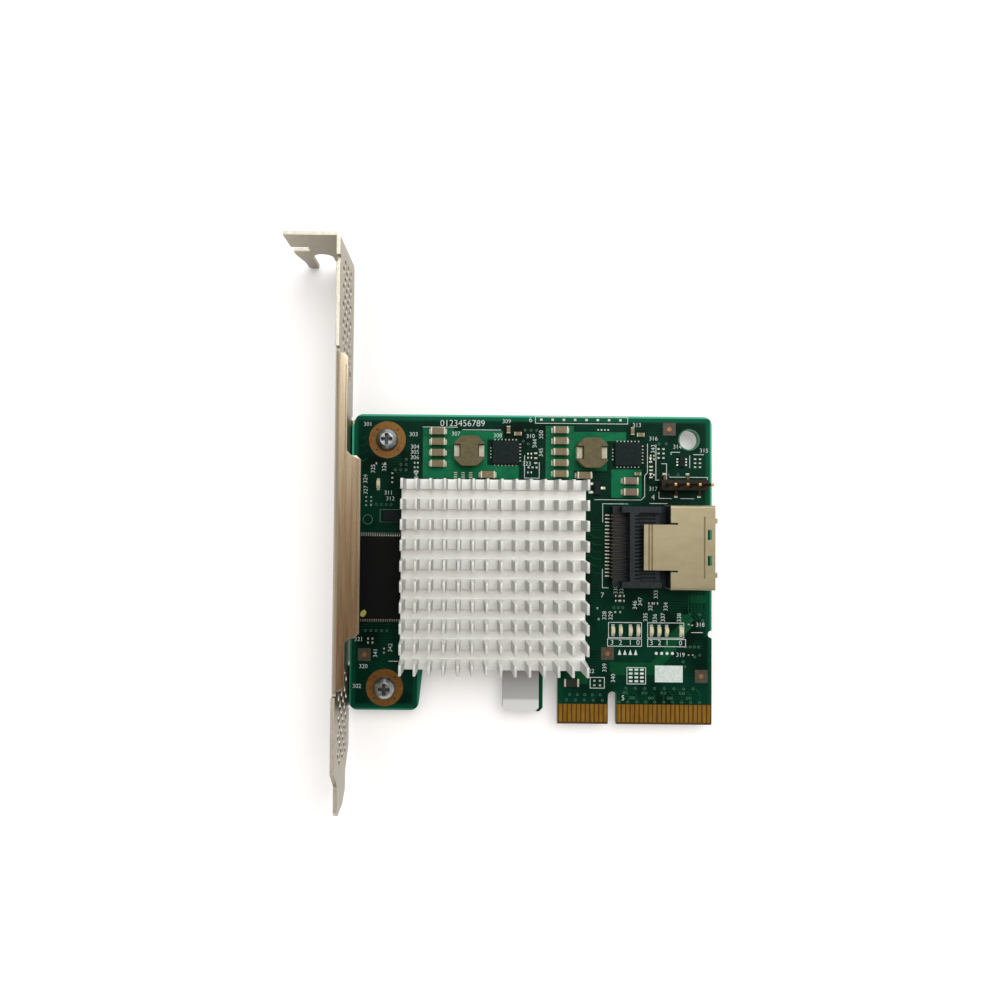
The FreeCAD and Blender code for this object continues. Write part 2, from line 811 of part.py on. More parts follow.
def make_port_shell():
    """Thin sheet folded over the port's mouth, with a sprung tongue to the rear."""
    body = new_body("shell")
    top = f"{COMPONENT_SIDE} + port_high"
    pad(body, "channel", "YZ_Plane", "shell_rear", "port_mouth - shell_rear", [
        ("port_low", COMPONENT_SIDE),
        ("port_low", top),
        (PORT_HIGH_SIDE, top),
        (PORT_HIGH_SIDE, COMPONENT_SIDE),
        (f"{PORT_HIGH_SIDE} - shell_thick", COMPONENT_SIDE),
        (f"{PORT_HIGH_SIDE} - shell_thick", PORT_ROOF),
        ("port_low + shell_thick", PORT_ROOF),
        ("port_low + shell_thick", COMPONENT_SIDE),
    ])
    rounded(body, "folds", ALONG_X, [{1: "port_low", 2: top}, {1: PORT_HIGH_SIDE, 2: top}], "shell_round")
    pad(body, "tongue", "XY_Plane", PORT_ROOF, "shell_thick",
        rectangle("tongue_rear", "tongue_low", "shell_rear - tongue_rear", "tongue_wide"))
    for side, low in (("low", "port_low + nub_inset"), ("high", f"{PORT_HIGH_SIDE} - nub_inset - nub_wide")):
        pad(body, "nub_" + side, "XY_Plane", PORT_ROOF, "shell_thick",
            rectangle("port_mouth", low, "nub_long", "nub_wide"))
    slit_long = "tongue_slit_end - shell_rear"
    pocket(body, "slits_and_windows", "XY_Plane", PORT_ROOF, "shell_thick", outlines(
        rectangle("shell_rear", "tongue_low - tongue_slit", slit_long, "tongue_slit"),
        rectangle("shell_rear", "tongue_low + tongue_wide", slit_long, "tongue_slit"),
        rectangle("window_left", "window_low", "window_long", "window_wide"),
        rectangle("window_left", "window_low + window_step", "window_long", "window_wide"),
    ))
    pocket(body, "beads", "XY_Plane", f"{top} - bead_deep", "bead_deep", outlines(
        rectangle("tongue_rear + bead_first", "tongue_low", "bead_width", "tongue_wide"),
        rectangle("tongue_rear + bead_first + bead_step", "tongue_low", "bead_width", "tongue_wide"),
        rectangle("crease_left", "port_low + crease_inset", "bead_width", "port_wide - 2 * crease_inset"),
    ))
    keep(body, "port_shell")


def make_port_housing():
    """Moulding with the plug's socket in front, side wings, and grooves before and behind a crossbar."""
    body = new_body("housing")
    inner = ("port_low + shell_thick + socket_wall", "port_wide - 2 * shell_thick - 2 * socket_wall")
    across = ("port_low", "port_wide")
    front = "port_mouth - housing_inset"
    tall = "port_high - shell_thick - port_play"
    pad(body, "moulding", "XY_Plane", COMPONENT_SIDE, tall, rectangle(
        "port_left", "port_low + shell_thick + port_play", f"{front} - port_left",
        "port_wide - 2 * shell_thick - 2 * port_play"))
    spaces = [
        ("socket", "socket_floor", "socket_rear", f"{front} - socket_rear", inner),
        ("rear_space", "rear_step", "port_left", "bar_rear - port_left", inner),
        ("front_space", "front_step", "bar_front", "wing_front - bar_front", inner),
        ("rear_shelf", "rear_step", "port_left", "wing_rear - port_left", across),
        ("shell_gap", "gap_floor", "wing_front", "shell_rear - wing_front", across),
    ]
    for name, floor, left, long, (low, wide) in spaces:
        pocket(body, name, "XY_Plane", f"{COMPONENT_SIDE} + {floor}", "port_high",
               outlines(rectangle(left, low, long, wide)))
    rear_floor = f"{COMPONENT_SIDE} + rear_step - groove_deep"
    rear = pocket(body, "rear_groove", "XY_Plane", rear_floor, "groove_deep",
                  outlines(rectangle("port_left", "tail_first", "bar_rear - port_left", "tail_wide")))
    teeth_floor = f"{COMPONENT_SIDE} + front_step - groove_deep"
    teeth_long = "wing_front - front_wall - bar_front + bar_teeth"
    teeth = pocket(body, "front_groove", "XY_Plane", teeth_floor, "port_high",
                   outlines(rectangle("bar_front - bar_teeth", "tail_first", teeth_long, "tail_wide")))
    repeated(body, "grooves", [rear, teeth], "Y_Axis", PORT_CONTACTS, PORT_SPAN)
    keep(body, "port_housing")


def make_port_contacts():
    """Bent tails that rise from the board and run into the housing's rear grooves."""
    body = new_body("tails")
    foot_end = "port_left - tail_foot"
    riser = "port_left - tail_gap"
    bar_top = f"{COMPONENT_SIDE} + rear_step - groove_deep + tail_thick"
    tail = pad(body, "tail", "XZ_Plane", "tail_first + tail_play", "tail_wide - 2 * tail_play", [
        (foot_end, COMPONENT_SIDE),
        (riser, COMPONENT_SIDE),
        (riser, f"{bar_top} - tail_thick"),
        ("bar_rear - tail_gap", f"{bar_top} - tail_thick"),
        ("bar_rear - tail_gap", bar_top),
        (f"{riser} - tail_thick", bar_top),
        (f"{riser} - tail_thick", f"{COMPONENT_SIDE} + tail_thick"),
        (foot_end, f"{COMPONENT_SIDE} + tail_thick"),
    ])
    repeated(body, "tail_row", [tail], "Y_Axis", PORT_CONTACTS, PORT_SPAN)
    keep(body, "port_contacts")


def make_header():
    """Upright square pins, soldered by feet that turn to alternate sides, in a moulded bar."""
    pin_count = 4
    line = "header_low + header_wide / 2"
    pins = []
    stems = []
    for index in range(pin_count):
        left = f"pin_first + {index} * pin_pitch - pin_side / 2"
        corner = (left, f"{line} - pin_side / 2", COMPONENT_SIDE)
        stem = block("stem", corner, ("pin_side", "pin_side", "pin_high"))
        foot_low = f"{line} + pin_side / 2 - pin_foot" if index % 2 else f"{line} - pin_side / 2"
        foot = block("foot", (left, foot_low, COMPONENT_SIDE), ("pin_side", "pin_foot", "pin_foot_thick"))
        pins.append(joined("pin", [stem, foot]))
        stems.append(stem)
    bar = block("bar", ("header_left", "header_low", f"{COMPONENT_SIDE} + header_stand"),
                ("header_long", "header_wide", "header_high - header_stand"))
    keep(cut("header_bar", bar, group("stems", stems)), "header_base")
    keep(group("header_pin_row", pins), "header_pins")


LAMPS = {
    "fault_led": ["5.75", "4.0", "1.8", "0.1"],
    "activity_led": ["15.3", "12.1", "10.4", "8.7"],
}
POWER_LAMP = ("-52.7", "53.1")


def make_lamp(label, middle):
    """Lens block on a thin base."""
    base = block_on_board("lamp_base", middle, ("lamp_wide", "lamp_long", "lamp_high / 2"))
    lens = block_on_board("lamp_lens", middle, ("lamp_wide", "lamp_lens", "lamp_high"))
    keep(joined("lamp", [base, lens]), label)


def make_lamps():
    for row, places in LAMPS.items():
        for index, across in enumerate(places):
            make_lamp(f"{row}_{index}", (across, "lamp_row"))
    make_lamp("power_led", POWER_LAMP)


# Small leaded chips: middle, size and the side and offset of each lead with its length and width
TRANSISTOR = {"middle": (-3.65, 52.7), "size": (1.5, 3.0, 1.0), "lead": (0.6, 0.5),
              "places": [(-1, 0.95), (-1, -0.95), (1, 0)]}
LOGIC_CHIP = {"middle": (15.35, 58.7), "size": (1.3, 2.2, 0.9), "lead": (0.5, 0.3),
              "places": [(side, offset) for side in (-1, 1) for offset in (-0.65, 0, 0.65)]}


def make_leaded_chip(label, chip):
    """Small moulded chip whose flat leads stand at its left and right sides."""
    across, up = chip["middle"]
    long, wide, high = chip["size"]
    out, lead_wide = chip["lead"]
    keep(block_on_board(label, (f"{across}", f"{up}"), (f"{long}", f"{wide}", f"{high}")), label)
    leads = []
    for side, offset in chip["places"]:
        middle = (f"{across + side * (long + out) / 2}", f"{up + offset}")
        leads.append(block_on_board("small_lead", middle, (f"{out}", f"{lead_wide}", "small_lead_thick")))
    keep(group(label + "_feet", leads), label + "_leads")


RESISTORS = [(-18.8, 60.2), (-18.8, 59.3), (-18.8, 56.0), (8.7, 60.0), (8.7, 59.2), (8.7, 55.7),
             (1.0, 28.6), (1.0, 27.5), (2.1, 28.6), (2.1, 27.5), (8.4, 27.0), (9.6, 27.0)]
SMALL_CERAMICS = [(-23.6, 65.6, 0.85, 1.6), (-21.5, 64.7, 1.6, 0.85), (4.2, 65.5, 0.8, 1.6),
                  (6.0, 64.7, 1.6, 0.9), (5.4, 55.9, 1.4, 0.7)]
SUPPORT_CHIP = {"middle": ("-49.0", "46.05"), "size": ("5.0", "2.3", "0.9")}
FUSE = {"middle": ("-9.15", "9.3"), "size": ("3.3", "1.75", "0.6")}


def make_small_parts():
    make_leaded_chip("transistor", TRANSISTOR)
    make_leaded_chip("logic_chip", LOGIC_CHIP)
    keep(block_on_board("support", SUPPORT_CHIP["middle"], SUPPORT_CHIP["size"]), "support_chip")
    keep(block_on_board("fuse", FUSE["middle"], FUSE["size"]), "chip_fuse")
    size = ("resistor_long", "resistor_wide", "resistor_high")
    resistors = [block_on_board("resistor", (f"{across}", f"{up}"), size) for across, up in RESISTORS]
    keep(group("resistors", resistors), "chip_resistors")
    ceramics = []
    for across, up, long, wide in SMALL_CERAMICS:
        size = (f"{long}", f"{wide}", "small_ceramic_high")
        ceramics.append(block_on_board("small_ceramic", (f"{across}", f"{up}"), size))
    keep(group("small_ceramics", ceramics), "chip_capacitors")


def make_film():
    """Blank film that covers the leg, cut to the leg's own corners."""
    body = new_body("film")
    left = "-leg_left"
    right = "-leg_right - film_margin"
    pad(body, "film_sheet", "XY_Plane", COMPONENT_SIDE, "film_thick", [
        (left, "leg_bottom + leg_chamfer"),
        (f"{left} + leg_chamfer", "leg_bottom"),
        (f"{right} - leg_chamfer", "leg_bottom"),
        (right, "leg_bottom + leg_chamfer"),
        (right, "shoulder - film_margin"),
        (left, "shoulder - film_margin"),
    ])
    keep(body, "blank_film")


make_board()
make_edge_contacts()
make_bracket()
make_screws()
make_heatsink()
make_controller()
make_flash()
make_power_parts()
make_capacitors()
make_port_shell()
make_port_housing()
make_port_contacts()
make_header()
make_lamps()
make_small_parts()
make_film()
doc.recompute()

for thing in doc.Objects:
    if "Invalid" in thing.State or "Error" in thing.State:
        raise ValueError(f"{thing.Label} failed: {thing.State}")
for subpart in subparts:
    if subpart.Shape.isNull() or not subpart.Shape.isValid():
        raise ValueError(f"{subpart.Label} has no valid shape")

os.makedirs("parts", exist_ok=True)
for subpart in subparts:
    subpart.Shape.exportStep(f"parts/{subpart.Label}.step")
print(len(subparts), "sub-parts")
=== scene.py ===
import bmesh
import bpy
import math
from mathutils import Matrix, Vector


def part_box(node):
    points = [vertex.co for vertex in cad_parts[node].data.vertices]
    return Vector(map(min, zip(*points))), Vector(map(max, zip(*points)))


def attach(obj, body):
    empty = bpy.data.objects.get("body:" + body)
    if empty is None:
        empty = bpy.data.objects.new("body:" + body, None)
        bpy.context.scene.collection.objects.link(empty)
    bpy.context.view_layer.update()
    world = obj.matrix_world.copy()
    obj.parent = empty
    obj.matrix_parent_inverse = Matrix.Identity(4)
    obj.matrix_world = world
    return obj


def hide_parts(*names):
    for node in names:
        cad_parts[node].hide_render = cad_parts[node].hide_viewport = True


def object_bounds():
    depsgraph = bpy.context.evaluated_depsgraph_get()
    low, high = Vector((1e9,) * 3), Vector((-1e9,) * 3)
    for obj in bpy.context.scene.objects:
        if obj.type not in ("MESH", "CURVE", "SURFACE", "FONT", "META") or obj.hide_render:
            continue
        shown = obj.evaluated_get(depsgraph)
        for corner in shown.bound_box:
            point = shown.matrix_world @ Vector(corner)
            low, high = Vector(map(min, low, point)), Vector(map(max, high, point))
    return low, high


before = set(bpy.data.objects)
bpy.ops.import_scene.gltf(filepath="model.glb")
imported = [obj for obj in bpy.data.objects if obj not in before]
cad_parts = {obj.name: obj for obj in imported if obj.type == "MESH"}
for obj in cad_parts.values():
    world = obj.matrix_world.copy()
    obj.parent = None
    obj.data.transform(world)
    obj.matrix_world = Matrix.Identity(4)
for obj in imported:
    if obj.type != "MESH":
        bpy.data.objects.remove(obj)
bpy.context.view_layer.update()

# Looks of a host bus adapter. Sizes and places are in millimetres and become metres as a mesh is made.
MM = 0.001
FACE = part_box("circuit_board")[1].z / MM
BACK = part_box("circuit_board")[0].z / MM
WELD = 0.001 * MM
SHARP = math.radians(35)
SMOOTH = math.radians(32)
FLAT_ANGLE = math.radians(1)

# How far a face has to turn towards an axis to count as facing it
FACING = 0.9
MOSTLY_FACING = 0.7
HALF_FACING = 0.5

# How wide the edges of the solids are eased
SOFT_EDGE = 0.1
FINE_EDGE = 0.05
CRISP_EDGE = 0.03

# How far each thin layer stands off the board's face, and how far it is sunk in
SINK = 0.01
POUR_RISE = 0.012
TRACE_RISE = 0.018
RING_RISE = 0.03
PRINT_RISE = 0.025
MARK_RISE = 0.03
PAD_RISE = 0.05


# Working by hand: picking, modifiers and copies

def deselect():
    bpy.ops.object.select_all(action="DESELECT")


def pick(piece):
    deselect()
    piece.select_set(True)
    bpy.context.view_layer.objects.active = piece


def settle(piece):
    """Puts a piece's place, turn and size into its mesh."""
    pick(piece)
    bpy.ops.object.transform_apply(location=True, rotation=True, scale=True)


def modify(piece, kind, **settings):
    """Adds a modifier and applies it."""
    pick(piece)
    modifier = piece.modifiers.new(kind.lower(), kind)
    for setting, value in settings.items():
        setattr(modifier, setting, value)
    bpy.ops.object.modifier_apply(modifier=modifier.name)


def weld(piece):
    """Merges doubled corners and turns the faces outwards."""
    pick(piece)
    bpy.ops.object.mode_set(mode="EDIT")
    bpy.ops.mesh.select_all(action="SELECT")
    bpy.ops.mesh.remove_doubles(threshold=WELD)
    bpy.ops.mesh.normals_make_consistent(inside=False)
    bpy.ops.object.mode_set(mode="OBJECT")


def select_faces(piece, wanted):
    """Leaves the piece in edit mode with the wanted faces selected."""
    pick(piece)
    bpy.ops.object.mode_set(mode="EDIT")
    bpy.ops.mesh.select_mode(type="FACE")
    bpy.ops.mesh.select_all(action="DESELECT")
    mesh = bmesh.from_edit_mesh(piece.data)
    for face in mesh.faces:
        face.select = wanted(face)
    bmesh.update_edit_mesh(piece.data)


def round_edges(piece, wanted, width, segments):
    """Rounds only the wanted edges."""
    pick(piece)
    bpy.ops.object.mode_set(mode="EDIT")
    bpy.ops.mesh.select_mode(type="EDGE")
    bpy.ops.mesh.select_all(action="DESELECT")
    mesh = bmesh.from_edit_mesh(piece.data)
    for edge in mesh.edges:
        edge.select = wanted(edge)
    bmesh.update_edit_mesh(piece.data)
    bpy.ops.mesh.bevel(offset=width * MM, segments=segments, affect="EDGES", clamp_overlap=True,
                       loop_slide=False)
    bpy.ops.object.mode_set(mode="OBJECT")


def ease(piece, width):
    """Rounds the sharp edges and shades the rest smooth, with flat faces kept flat."""
    modify(piece, "BEVEL", width=width * MM, segments=2, limit_method="ANGLE", angle_limit=SHARP,
           use_clamp_overlap=False, loop_slide=False)
    bpy.ops.object.shade_smooth_by_angle(angle=SMOOTH)
    modify(piece, "WEIGHTED_NORMAL", keep_sharp=True)


def paint(piece, look):
    """Gives the whole piece one finish."""
    piece.data.materials.clear()
    piece.data.materials.append(look)


def paint_where(piece, look, wanted):
    """Adds another finish for the wanted faces."""
    piece.data.materials.append(look)
    index = len(piece.data.materials) - 1
    for face in piece.data.polygons:
        if wanted(face):
            face.material_index = index


def carry(piece):
    """Fixes a piece to the board."""
    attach(piece, "root")


def twin(pattern, name):
    """Copy with its own mesh."""
    piece = bpy.data.objects.new(name, pattern.data.copy())
    bpy.context.scene.collection.objects.link(piece)
    return piece


def join(pieces, name):
    """Makes one piece of many, with its place in its mesh."""
    deselect()
    for piece in pieces:
        piece.select_set(True)
    bpy.context.view_layer.objects.active = pieces[0]
    if len(pieces) > 1:
        bpy.ops.object.join()
    whole = bpy.context.view_layer.objects.active
    whole.name = name
    settle(whole)
    return whole


def copies(pattern, places, name):
    """Copies of one small pattern, each at its own place and size, as one piece."""
    members = []
    for across, up, size in places:
        member = twin(pattern, name)
        member.location = (across * MM, up * MM, 0)
        member.scale = (size[0], size[1], 1)
        members.append(member)
    bpy.data.objects.remove(pattern)
    carry(join(members, name))


def merged_copy(node, name, flatten=True):
    """Copy with its corners welded; a flat side is one face, or even triangles if it has many holes."""
    piece = twin(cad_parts[node], name)
    pick(piece)
    bpy.ops.object.mode_set(mode="EDIT")
    bpy.ops.mesh.select_all(action="SELECT")
    bpy.ops.mesh.remove_doubles(threshold=WELD)
    if flatten:
        bpy.ops.mesh.dissolve_limited(angle_limit=FLAT_ANGLE)
    else:
        bpy.ops.mesh.beautify_fill(angle_limit=FLAT_ANGLE)
    bpy.ops.object.mode_set(mode="OBJECT")
    return piece


def box_of(piece):
    """Low and high corner of a piece's own mesh."""
    spots = [vertex.co for vertex in piece.data.vertices]
    low = Vector(min(spot[axis] for spot in spots) for axis in range(3))
    high = Vector(max(spot[axis] for spot in spots) for axis in range(3))
    return low, high


def hold_in_box(piece, node):
    """Brings any corner that easing threw past the solid's own box back to it."""
    low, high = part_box(node)
    for vertex in piece.data.vertices:
        for axis in range(3):
            vertex.co[axis] = min(max(vertex.co[axis], low[axis]), high[axis])


def eased_solid(node, width, look, shape=None, flatten=True):
    """The solid itself with its edges eased; shape does any further work on the merged copy first."""
    piece = merged_copy(node, node + "_eased", flatten)
    if shape:
        shape(piece)
    ease(piece, width)
    hold_in_box(piece, node)
    paint(piece, look)
    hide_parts(node)
    carry(piece)
    return piece


def block(name, size, bottom):
    """Plain box over the origin, to be shaped."""
    bpy.ops.mesh.primitive_cube_add(size=MM, location=(0, 0, (bottom + size[2] / 2) * MM))
    piece = bpy.context.object
    piece.name = name
    piece.scale = size
    settle(piece)
    return piece


# Flat shapes for copper and print

def rectangle(left, low, right, high):
    return [(left, low), (right, low), (right, high), (left, high)]


def disc(across, up, radius, sides=24):
    turns = [2 * math.pi * side / sides for side in range(sides)]
    return [(across + radius * math.cos(turn), up + radius * math.sin(turn)) for turn in turns]


def ring(across, up, outer, inner, sides=48):
    return [disc(across, up, outer, sides), disc(across, up, inner, sides)]


def framed(left, low, right, high, line):
    """Rectangle drawn as a line of even width."""
    opening = rectangle(left + line, low + line, right - line, high - line)
    return [rectangle(left, low, right, high), opening]


def stroke(path, width):
    """Closed outline of a line of even width with mitred bends."""
    points = [Vector(point) for point in path]
    steps = [(after - before).normalized() for before, after in zip(points, points[1:])]
    sides = []
    for index, point in enumerate(points):
        beside = steps[max(index - 1, 0):index + 1]
        along = sum(beside, Vector((0, 0))).normalized()
        out = Vector((-along.y, along.x))
        reach = width / 2 / out.dot(Vector((-beside[0].y, beside[0].x)))
        sides.append((point + out * reach, point - out * reach))
    return [left for left, right in sides] + [right for left, right in reversed(sides)]


def flat(name, outlines, rise, look, level=FACE):
    """Thin plate on a face; an outline inside another one is a hole."""
    curve = bpy.data.curves.new(name, "CURVE")
    curve.dimensions = "2D"
    curve.fill_mode = "BOTH"
    curve.extrude = (rise + SINK) / 2
    for outline in outlines:
        spline = curve.splines.new("POLY")
        spline.points.add(len(outline) - 1)
        for point, (across, up) in zip(spline.points, outline):
            point.co = (across, up, 0, 1)
        spline.use_cyclic_u = True
    plate = bpy.data.objects.new(name, curve)
    bpy.context.scene.collection.objects.link(plate)
    pick(plate)
    bpy.ops.object.convert(target="MESH")
    plate = bpy.context.object
    plate.scale = (MM, MM, MM)
    outward = 1 if level > 0 else -1
    plate.location.z = (level + outward * (rise - SINK) / 2) * MM
    settle(plate)
    weld(plate)
    paint(plate, look)
    carry(plate)


# Finishes

RELIEF_STRENGTH = 0.6
MOTTLE_DARK = 0.32
MOTTLE_LIGHT = 0.68
GLOSS_SPOTS = 0.6
GLOSS_RANGE = (0.3, 0.7)
PLAIN_DETAIL = 2.0


def add_node(tree, kind, inputs, **settings):
    made = tree.nodes.new(kind)
    for setting, value in settings.items():
        setattr(made, setting, value)
    for socket, value in inputs.items():
        if isinstance(value, bpy.types.NodeSocket):
            tree.links.new(value, made.inputs[socket])
        else:
            made.inputs[socket].default_value = value
    return made


def opaque(colour):
    return (*colour, 1.0)


def arithmetic(tree, operation, first, second):
    return add_node(tree, "ShaderNodeMath", {0: first, 1: second}, operation=operation).outputs[0]


def blend(tree, share, first, second):
    """Colour between two, by share."""
    return add_node(tree, "ShaderNodeMix", {0: share, 6: first, 7: second}, data_type="RGBA").outputs[2]


def climb(tree, value, low, high, start=0.0, end=1.0):
    """Value brought from one range to another and held at its ends."""
    inputs = {"Value": value, "From Min": low, "From Max": high, "To Min": start, "To Max": end}
    return add_node(tree, "ShaderNodeMapRange", inputs).outputs["Result"]


def noise(tree, size, stretch=(1, 1, 1), detail=4.0):
    """Spots of about the given size in millimetres, drawn out along the axes by stretch."""
    place = add_node(tree, "ShaderNodeTexCoord", {}).outputs["Object"]
    scale = tuple(1 / (size * MM * along) for along in stretch)
    mapped = add_node(tree, "ShaderNodeMapping", {"Vector": place, "Scale": scale}).outputs["Vector"]
    spots = {"Vector": mapped, "Scale": 1.0, "Detail": detail}
    return add_node(tree, "ShaderNodeTexNoise", spots).outputs["Fac"]


def ramp(tree, share, stops):
    """Colour along a row of stops, each a position and a colour."""
    made = add_node(tree, "ShaderNodeValToRGB", {"Fac": share})
    elements = made.color_ramp.elements
    while len(elements) < len(stops):
        elements.new(1.0)
    for element, (position, colour) in zip(elements, stops):
        element.position = position
        element.color = opaque(colour)
    return made.outputs["Color"]


def relief(tree, shader, height, depth):
    """Fine bumps of the given depth in millimetres."""
    inputs = {"Height": height, "Strength": RELIEF_STRENGTH, "Distance": depth * MM}
    bump = add_node(tree, "ShaderNodeBump", inputs)
    tree.links.new(bump.outputs["Normal"], shader.inputs["Normal"])


def new_material(name):
    material = bpy.data.materials.new(name)
    material.use_nodes = True
    return material, material.node_tree, material.node_tree.nodes["Principled BSDF"]


def finish(name, dark, light, spots=1.5, stretch=(1, 1, 1), gloss=(0.4, 0.55), metal=0.0, shine=0.35,
           grain=0.15, depth=0.004):
    """Mottled finish: colour between two tones, uneven gloss and a fine grain."""
    material, tree, shader = new_material(name)
    shader.inputs["Metallic"].default_value = metal
    shader.inputs["Specular IOR Level"].default_value = shine
    mottle = noise(tree, spots, stretch)
    tones = ramp(tree, mottle, [(MOTTLE_DARK, dark), (MOTTLE_LIGHT, light)])
    tree.links.new(tones, shader.inputs["Base Color"])
    rough = climb(tree, noise(tree, spots * GLOSS_SPOTS, stretch), *GLOSS_RANGE, *gloss)
    tree.links.new(rough, shader.inputs["Roughness"])
    relief(tree, shader, noise(tree, grain, stretch, PLAIN_DETAIL), depth)
    return material


# Solder resist: the inner copper planes, the card edge, the tracks and the tones, distances in millimetres
INNER_PLANES = [(-57.3, 14.8, 20.8, 67.5), (-57.3, 4.2, -44.5, 20.0), (-11.3, 4.0, 21.3, 20.0),
                (-23.8, 3.6, -16.6, 20.0)]
FINGER_ZONE = (-12.3, -0.2, 22.3, 4.62)
RESIST_DEEP = (0.0006, 0.009, 0.005)
RESIST_LIGHT = (0.001, 0.03, 0.016)
RESIST_MARGIN = (0.003, 0.086, 0.042)
# Painted highlight along the board's outer rim
RIM_HIGHLIGHT = (0.08, 0.48, 0.32)
# Painted light and shade: the margins are dimmed below the first height and fully bright above the second
MARGIN_SHADED_BELOW = 15.0
MARGIN_LIT_ABOVE = 66.0
MARGIN_SHADE_SHARE = 0.3
BARE_EDGE = (0.16, 0.24, 0.12)
FINGER_GAP = (0.075, 0.038, 0.008)
TRACK_GREEN = (0.002, 0.042, 0.023)
RESIST_SHINE = 0.04
RESIST_ROUGH = 0.4
RESIST_GRAIN = 0.6
RESIST_RELIEF = 0.004
COPPER_PATCH = 14.0
COPPER_DARK = 0.36
COPPER_LIGHT = 0.64
TRACK_RUNS = ((0, 1.7), (90, 1.9), (45, 1.5))
TRACK_SHARE = 0.6
TRACK_EDGE = (0.62, 0.82)
TRACK_PATCH = 6.25
TRACK_PATCH_EDGE = (0.52, 0.56)
RIM_BAND = (-1.4, -0.8)
RIM_ENDS = 0.45
MARGIN_STARTS = 0.9
PLANE_EDGE = (-0.3, 0.2)
FINGER_EDGE = (0.0, 0.05)

# Film on the leg: its tones, from the top down: painted shade at the top next to the heatsink, and a painted
# highlight where it curls
FILM_TOP_SHADE = (0.365, 0.385, 0.39)
FILM_MIDDLE = (0.48, 0.505, 0.51)
FILM_CURL_HIGHLIGHT = (0.79, 0.82, 0.83)
FILM_TOP = 12.5
FILM_LOW = 2.8
FILM_BEND = 0.7
FILM_CURL = 0.76
FILM_METAL = 0.3
FILM_ROUGH = 0.36
FILM_WAVE = 3.0
FILM_RELIEF = 0.02


def inside(tree, across, up, area):
    """How far a point lies inside a rectangle, in millimetres."""
    left, low, right, high = area
    gaps = [arithmetic(tree, "SUBTRACT", across, left), arithmetic(tree, "SUBTRACT", right, across),
            arithmetic(tree, "SUBTRACT", up, low), arithmetic(tree, "SUBTRACT", high, up)]
    nearest = gaps[0]
    for gap in gaps[1:]:
        nearest = arithmetic(tree, "MINIMUM", nearest, gap)
    return nearest


def resist_tracks(tree, turn, period, place):
    """Fine parallel tracks under the resist, in patches."""
    turned = add_node(tree, "ShaderNodeMapping", {"Vector": place, "Rotation": (0, 0, math.radians(turn))})
    across = turned.outputs["Vector"]
    wave = add_node(tree, "ShaderNodeTexWave", {"Vector": across, "Scale": 1 / period}).outputs["Fac"]
    patches = {"Vector": across, "Scale": 1 / TRACK_PATCH, "Detail": 1.0}
    spots = add_node(tree, "ShaderNodeTexNoise", patches).outputs["Fac"]
    lines = climb(tree, wave, *TRACK_EDGE)
    return arithmetic(tree, "MULTIPLY", lines, climb(tree, spots, *TRACK_PATCH_EDGE))


def resist_finish():
    """Green solder resist: dark over the inner copper, light along the margins, with bare cut edges; the
    margins are painted lighter towards the top and carry a painted highlight along the rim.
    """
    material, tree, shader = new_material("green_resist")
    shader.inputs["Specular IOR Level"].default_value = RESIST_SHINE
    shader.inputs["Roughness"].default_value = RESIST_ROUGH
    coordinates = add_node(tree, "ShaderNodeTexCoord", {})
    place = add_node(tree, "ShaderNodeVectorMath", {0: coordinates.outputs["Object"], "Scale": 1 / MM},
                     operation="SCALE").outputs["Vector"]
    split = add_node(tree, "ShaderNodeSeparateXYZ", {"Vector": place})
    across = split.outputs["X"]
    up = split.outputs["Y"]
    depths = [inside(tree, across, up, area) for area in INNER_PLANES]
    deepest = depths[0]
    for depth in depths[1:]:
        deepest = arithmetic(tree, "MAXIMUM", deepest, depth)
    patches = noise(tree, COPPER_PATCH, detail=PLAIN_DETAIL)
    copper = ramp(tree, patches, [(COPPER_DARK, RESIST_DEEP), (COPPER_LIGHT, RESIST_LIGHT)])
    for turn, period in TRACK_RUNS:
        lines = arithmetic(tree, "MULTIPLY", resist_tracks(tree, turn, period, place), TRACK_SHARE)
        copper = blend(tree, lines, copper, opaque(TRACK_GREEN))
    from_rim = climb(tree, deepest, *RIM_BAND)
    # The outermost band of the margin carries the painted highlight
    margin = ramp(tree, from_rim, [(RIM_ENDS, RIM_HIGHLIGHT), (MARGIN_STARTS, RESIST_MARGIN)])
    # Painted light: the margins brighten towards the top
    lit = climb(tree, up, MARGIN_SHADED_BELOW, MARGIN_LIT_ABOVE, MARGIN_SHADE_SHARE, 1.0)
    margin = blend(tree, lit, opaque(RESIST_LIGHT), margin)
    resist = blend(tree, climb(tree, deepest, *PLANE_EDGE), margin, copper)
    fingers = climb(tree, inside(tree, across, up, FINGER_ZONE), *FINGER_EDGE)
    resist = blend(tree, fingers, resist, opaque(FINGER_GAP))
    facing = add_node(tree, "ShaderNodeSeparateXYZ", {"Vector": coordinates.outputs["Normal"]}).outputs["Z"]
    level = arithmetic(tree, "GREATER_THAN", arithmetic(tree, "ABSOLUTE", facing, 0.0), HALF_FACING)
    tree.links.new(blend(tree, level, opaque(BARE_EDGE), resist), shader.inputs["Base Color"])
    relief(tree, shader, noise(tree, RESIST_GRAIN, detail=PLAIN_DETAIL), RESIST_RELIEF)
    return material


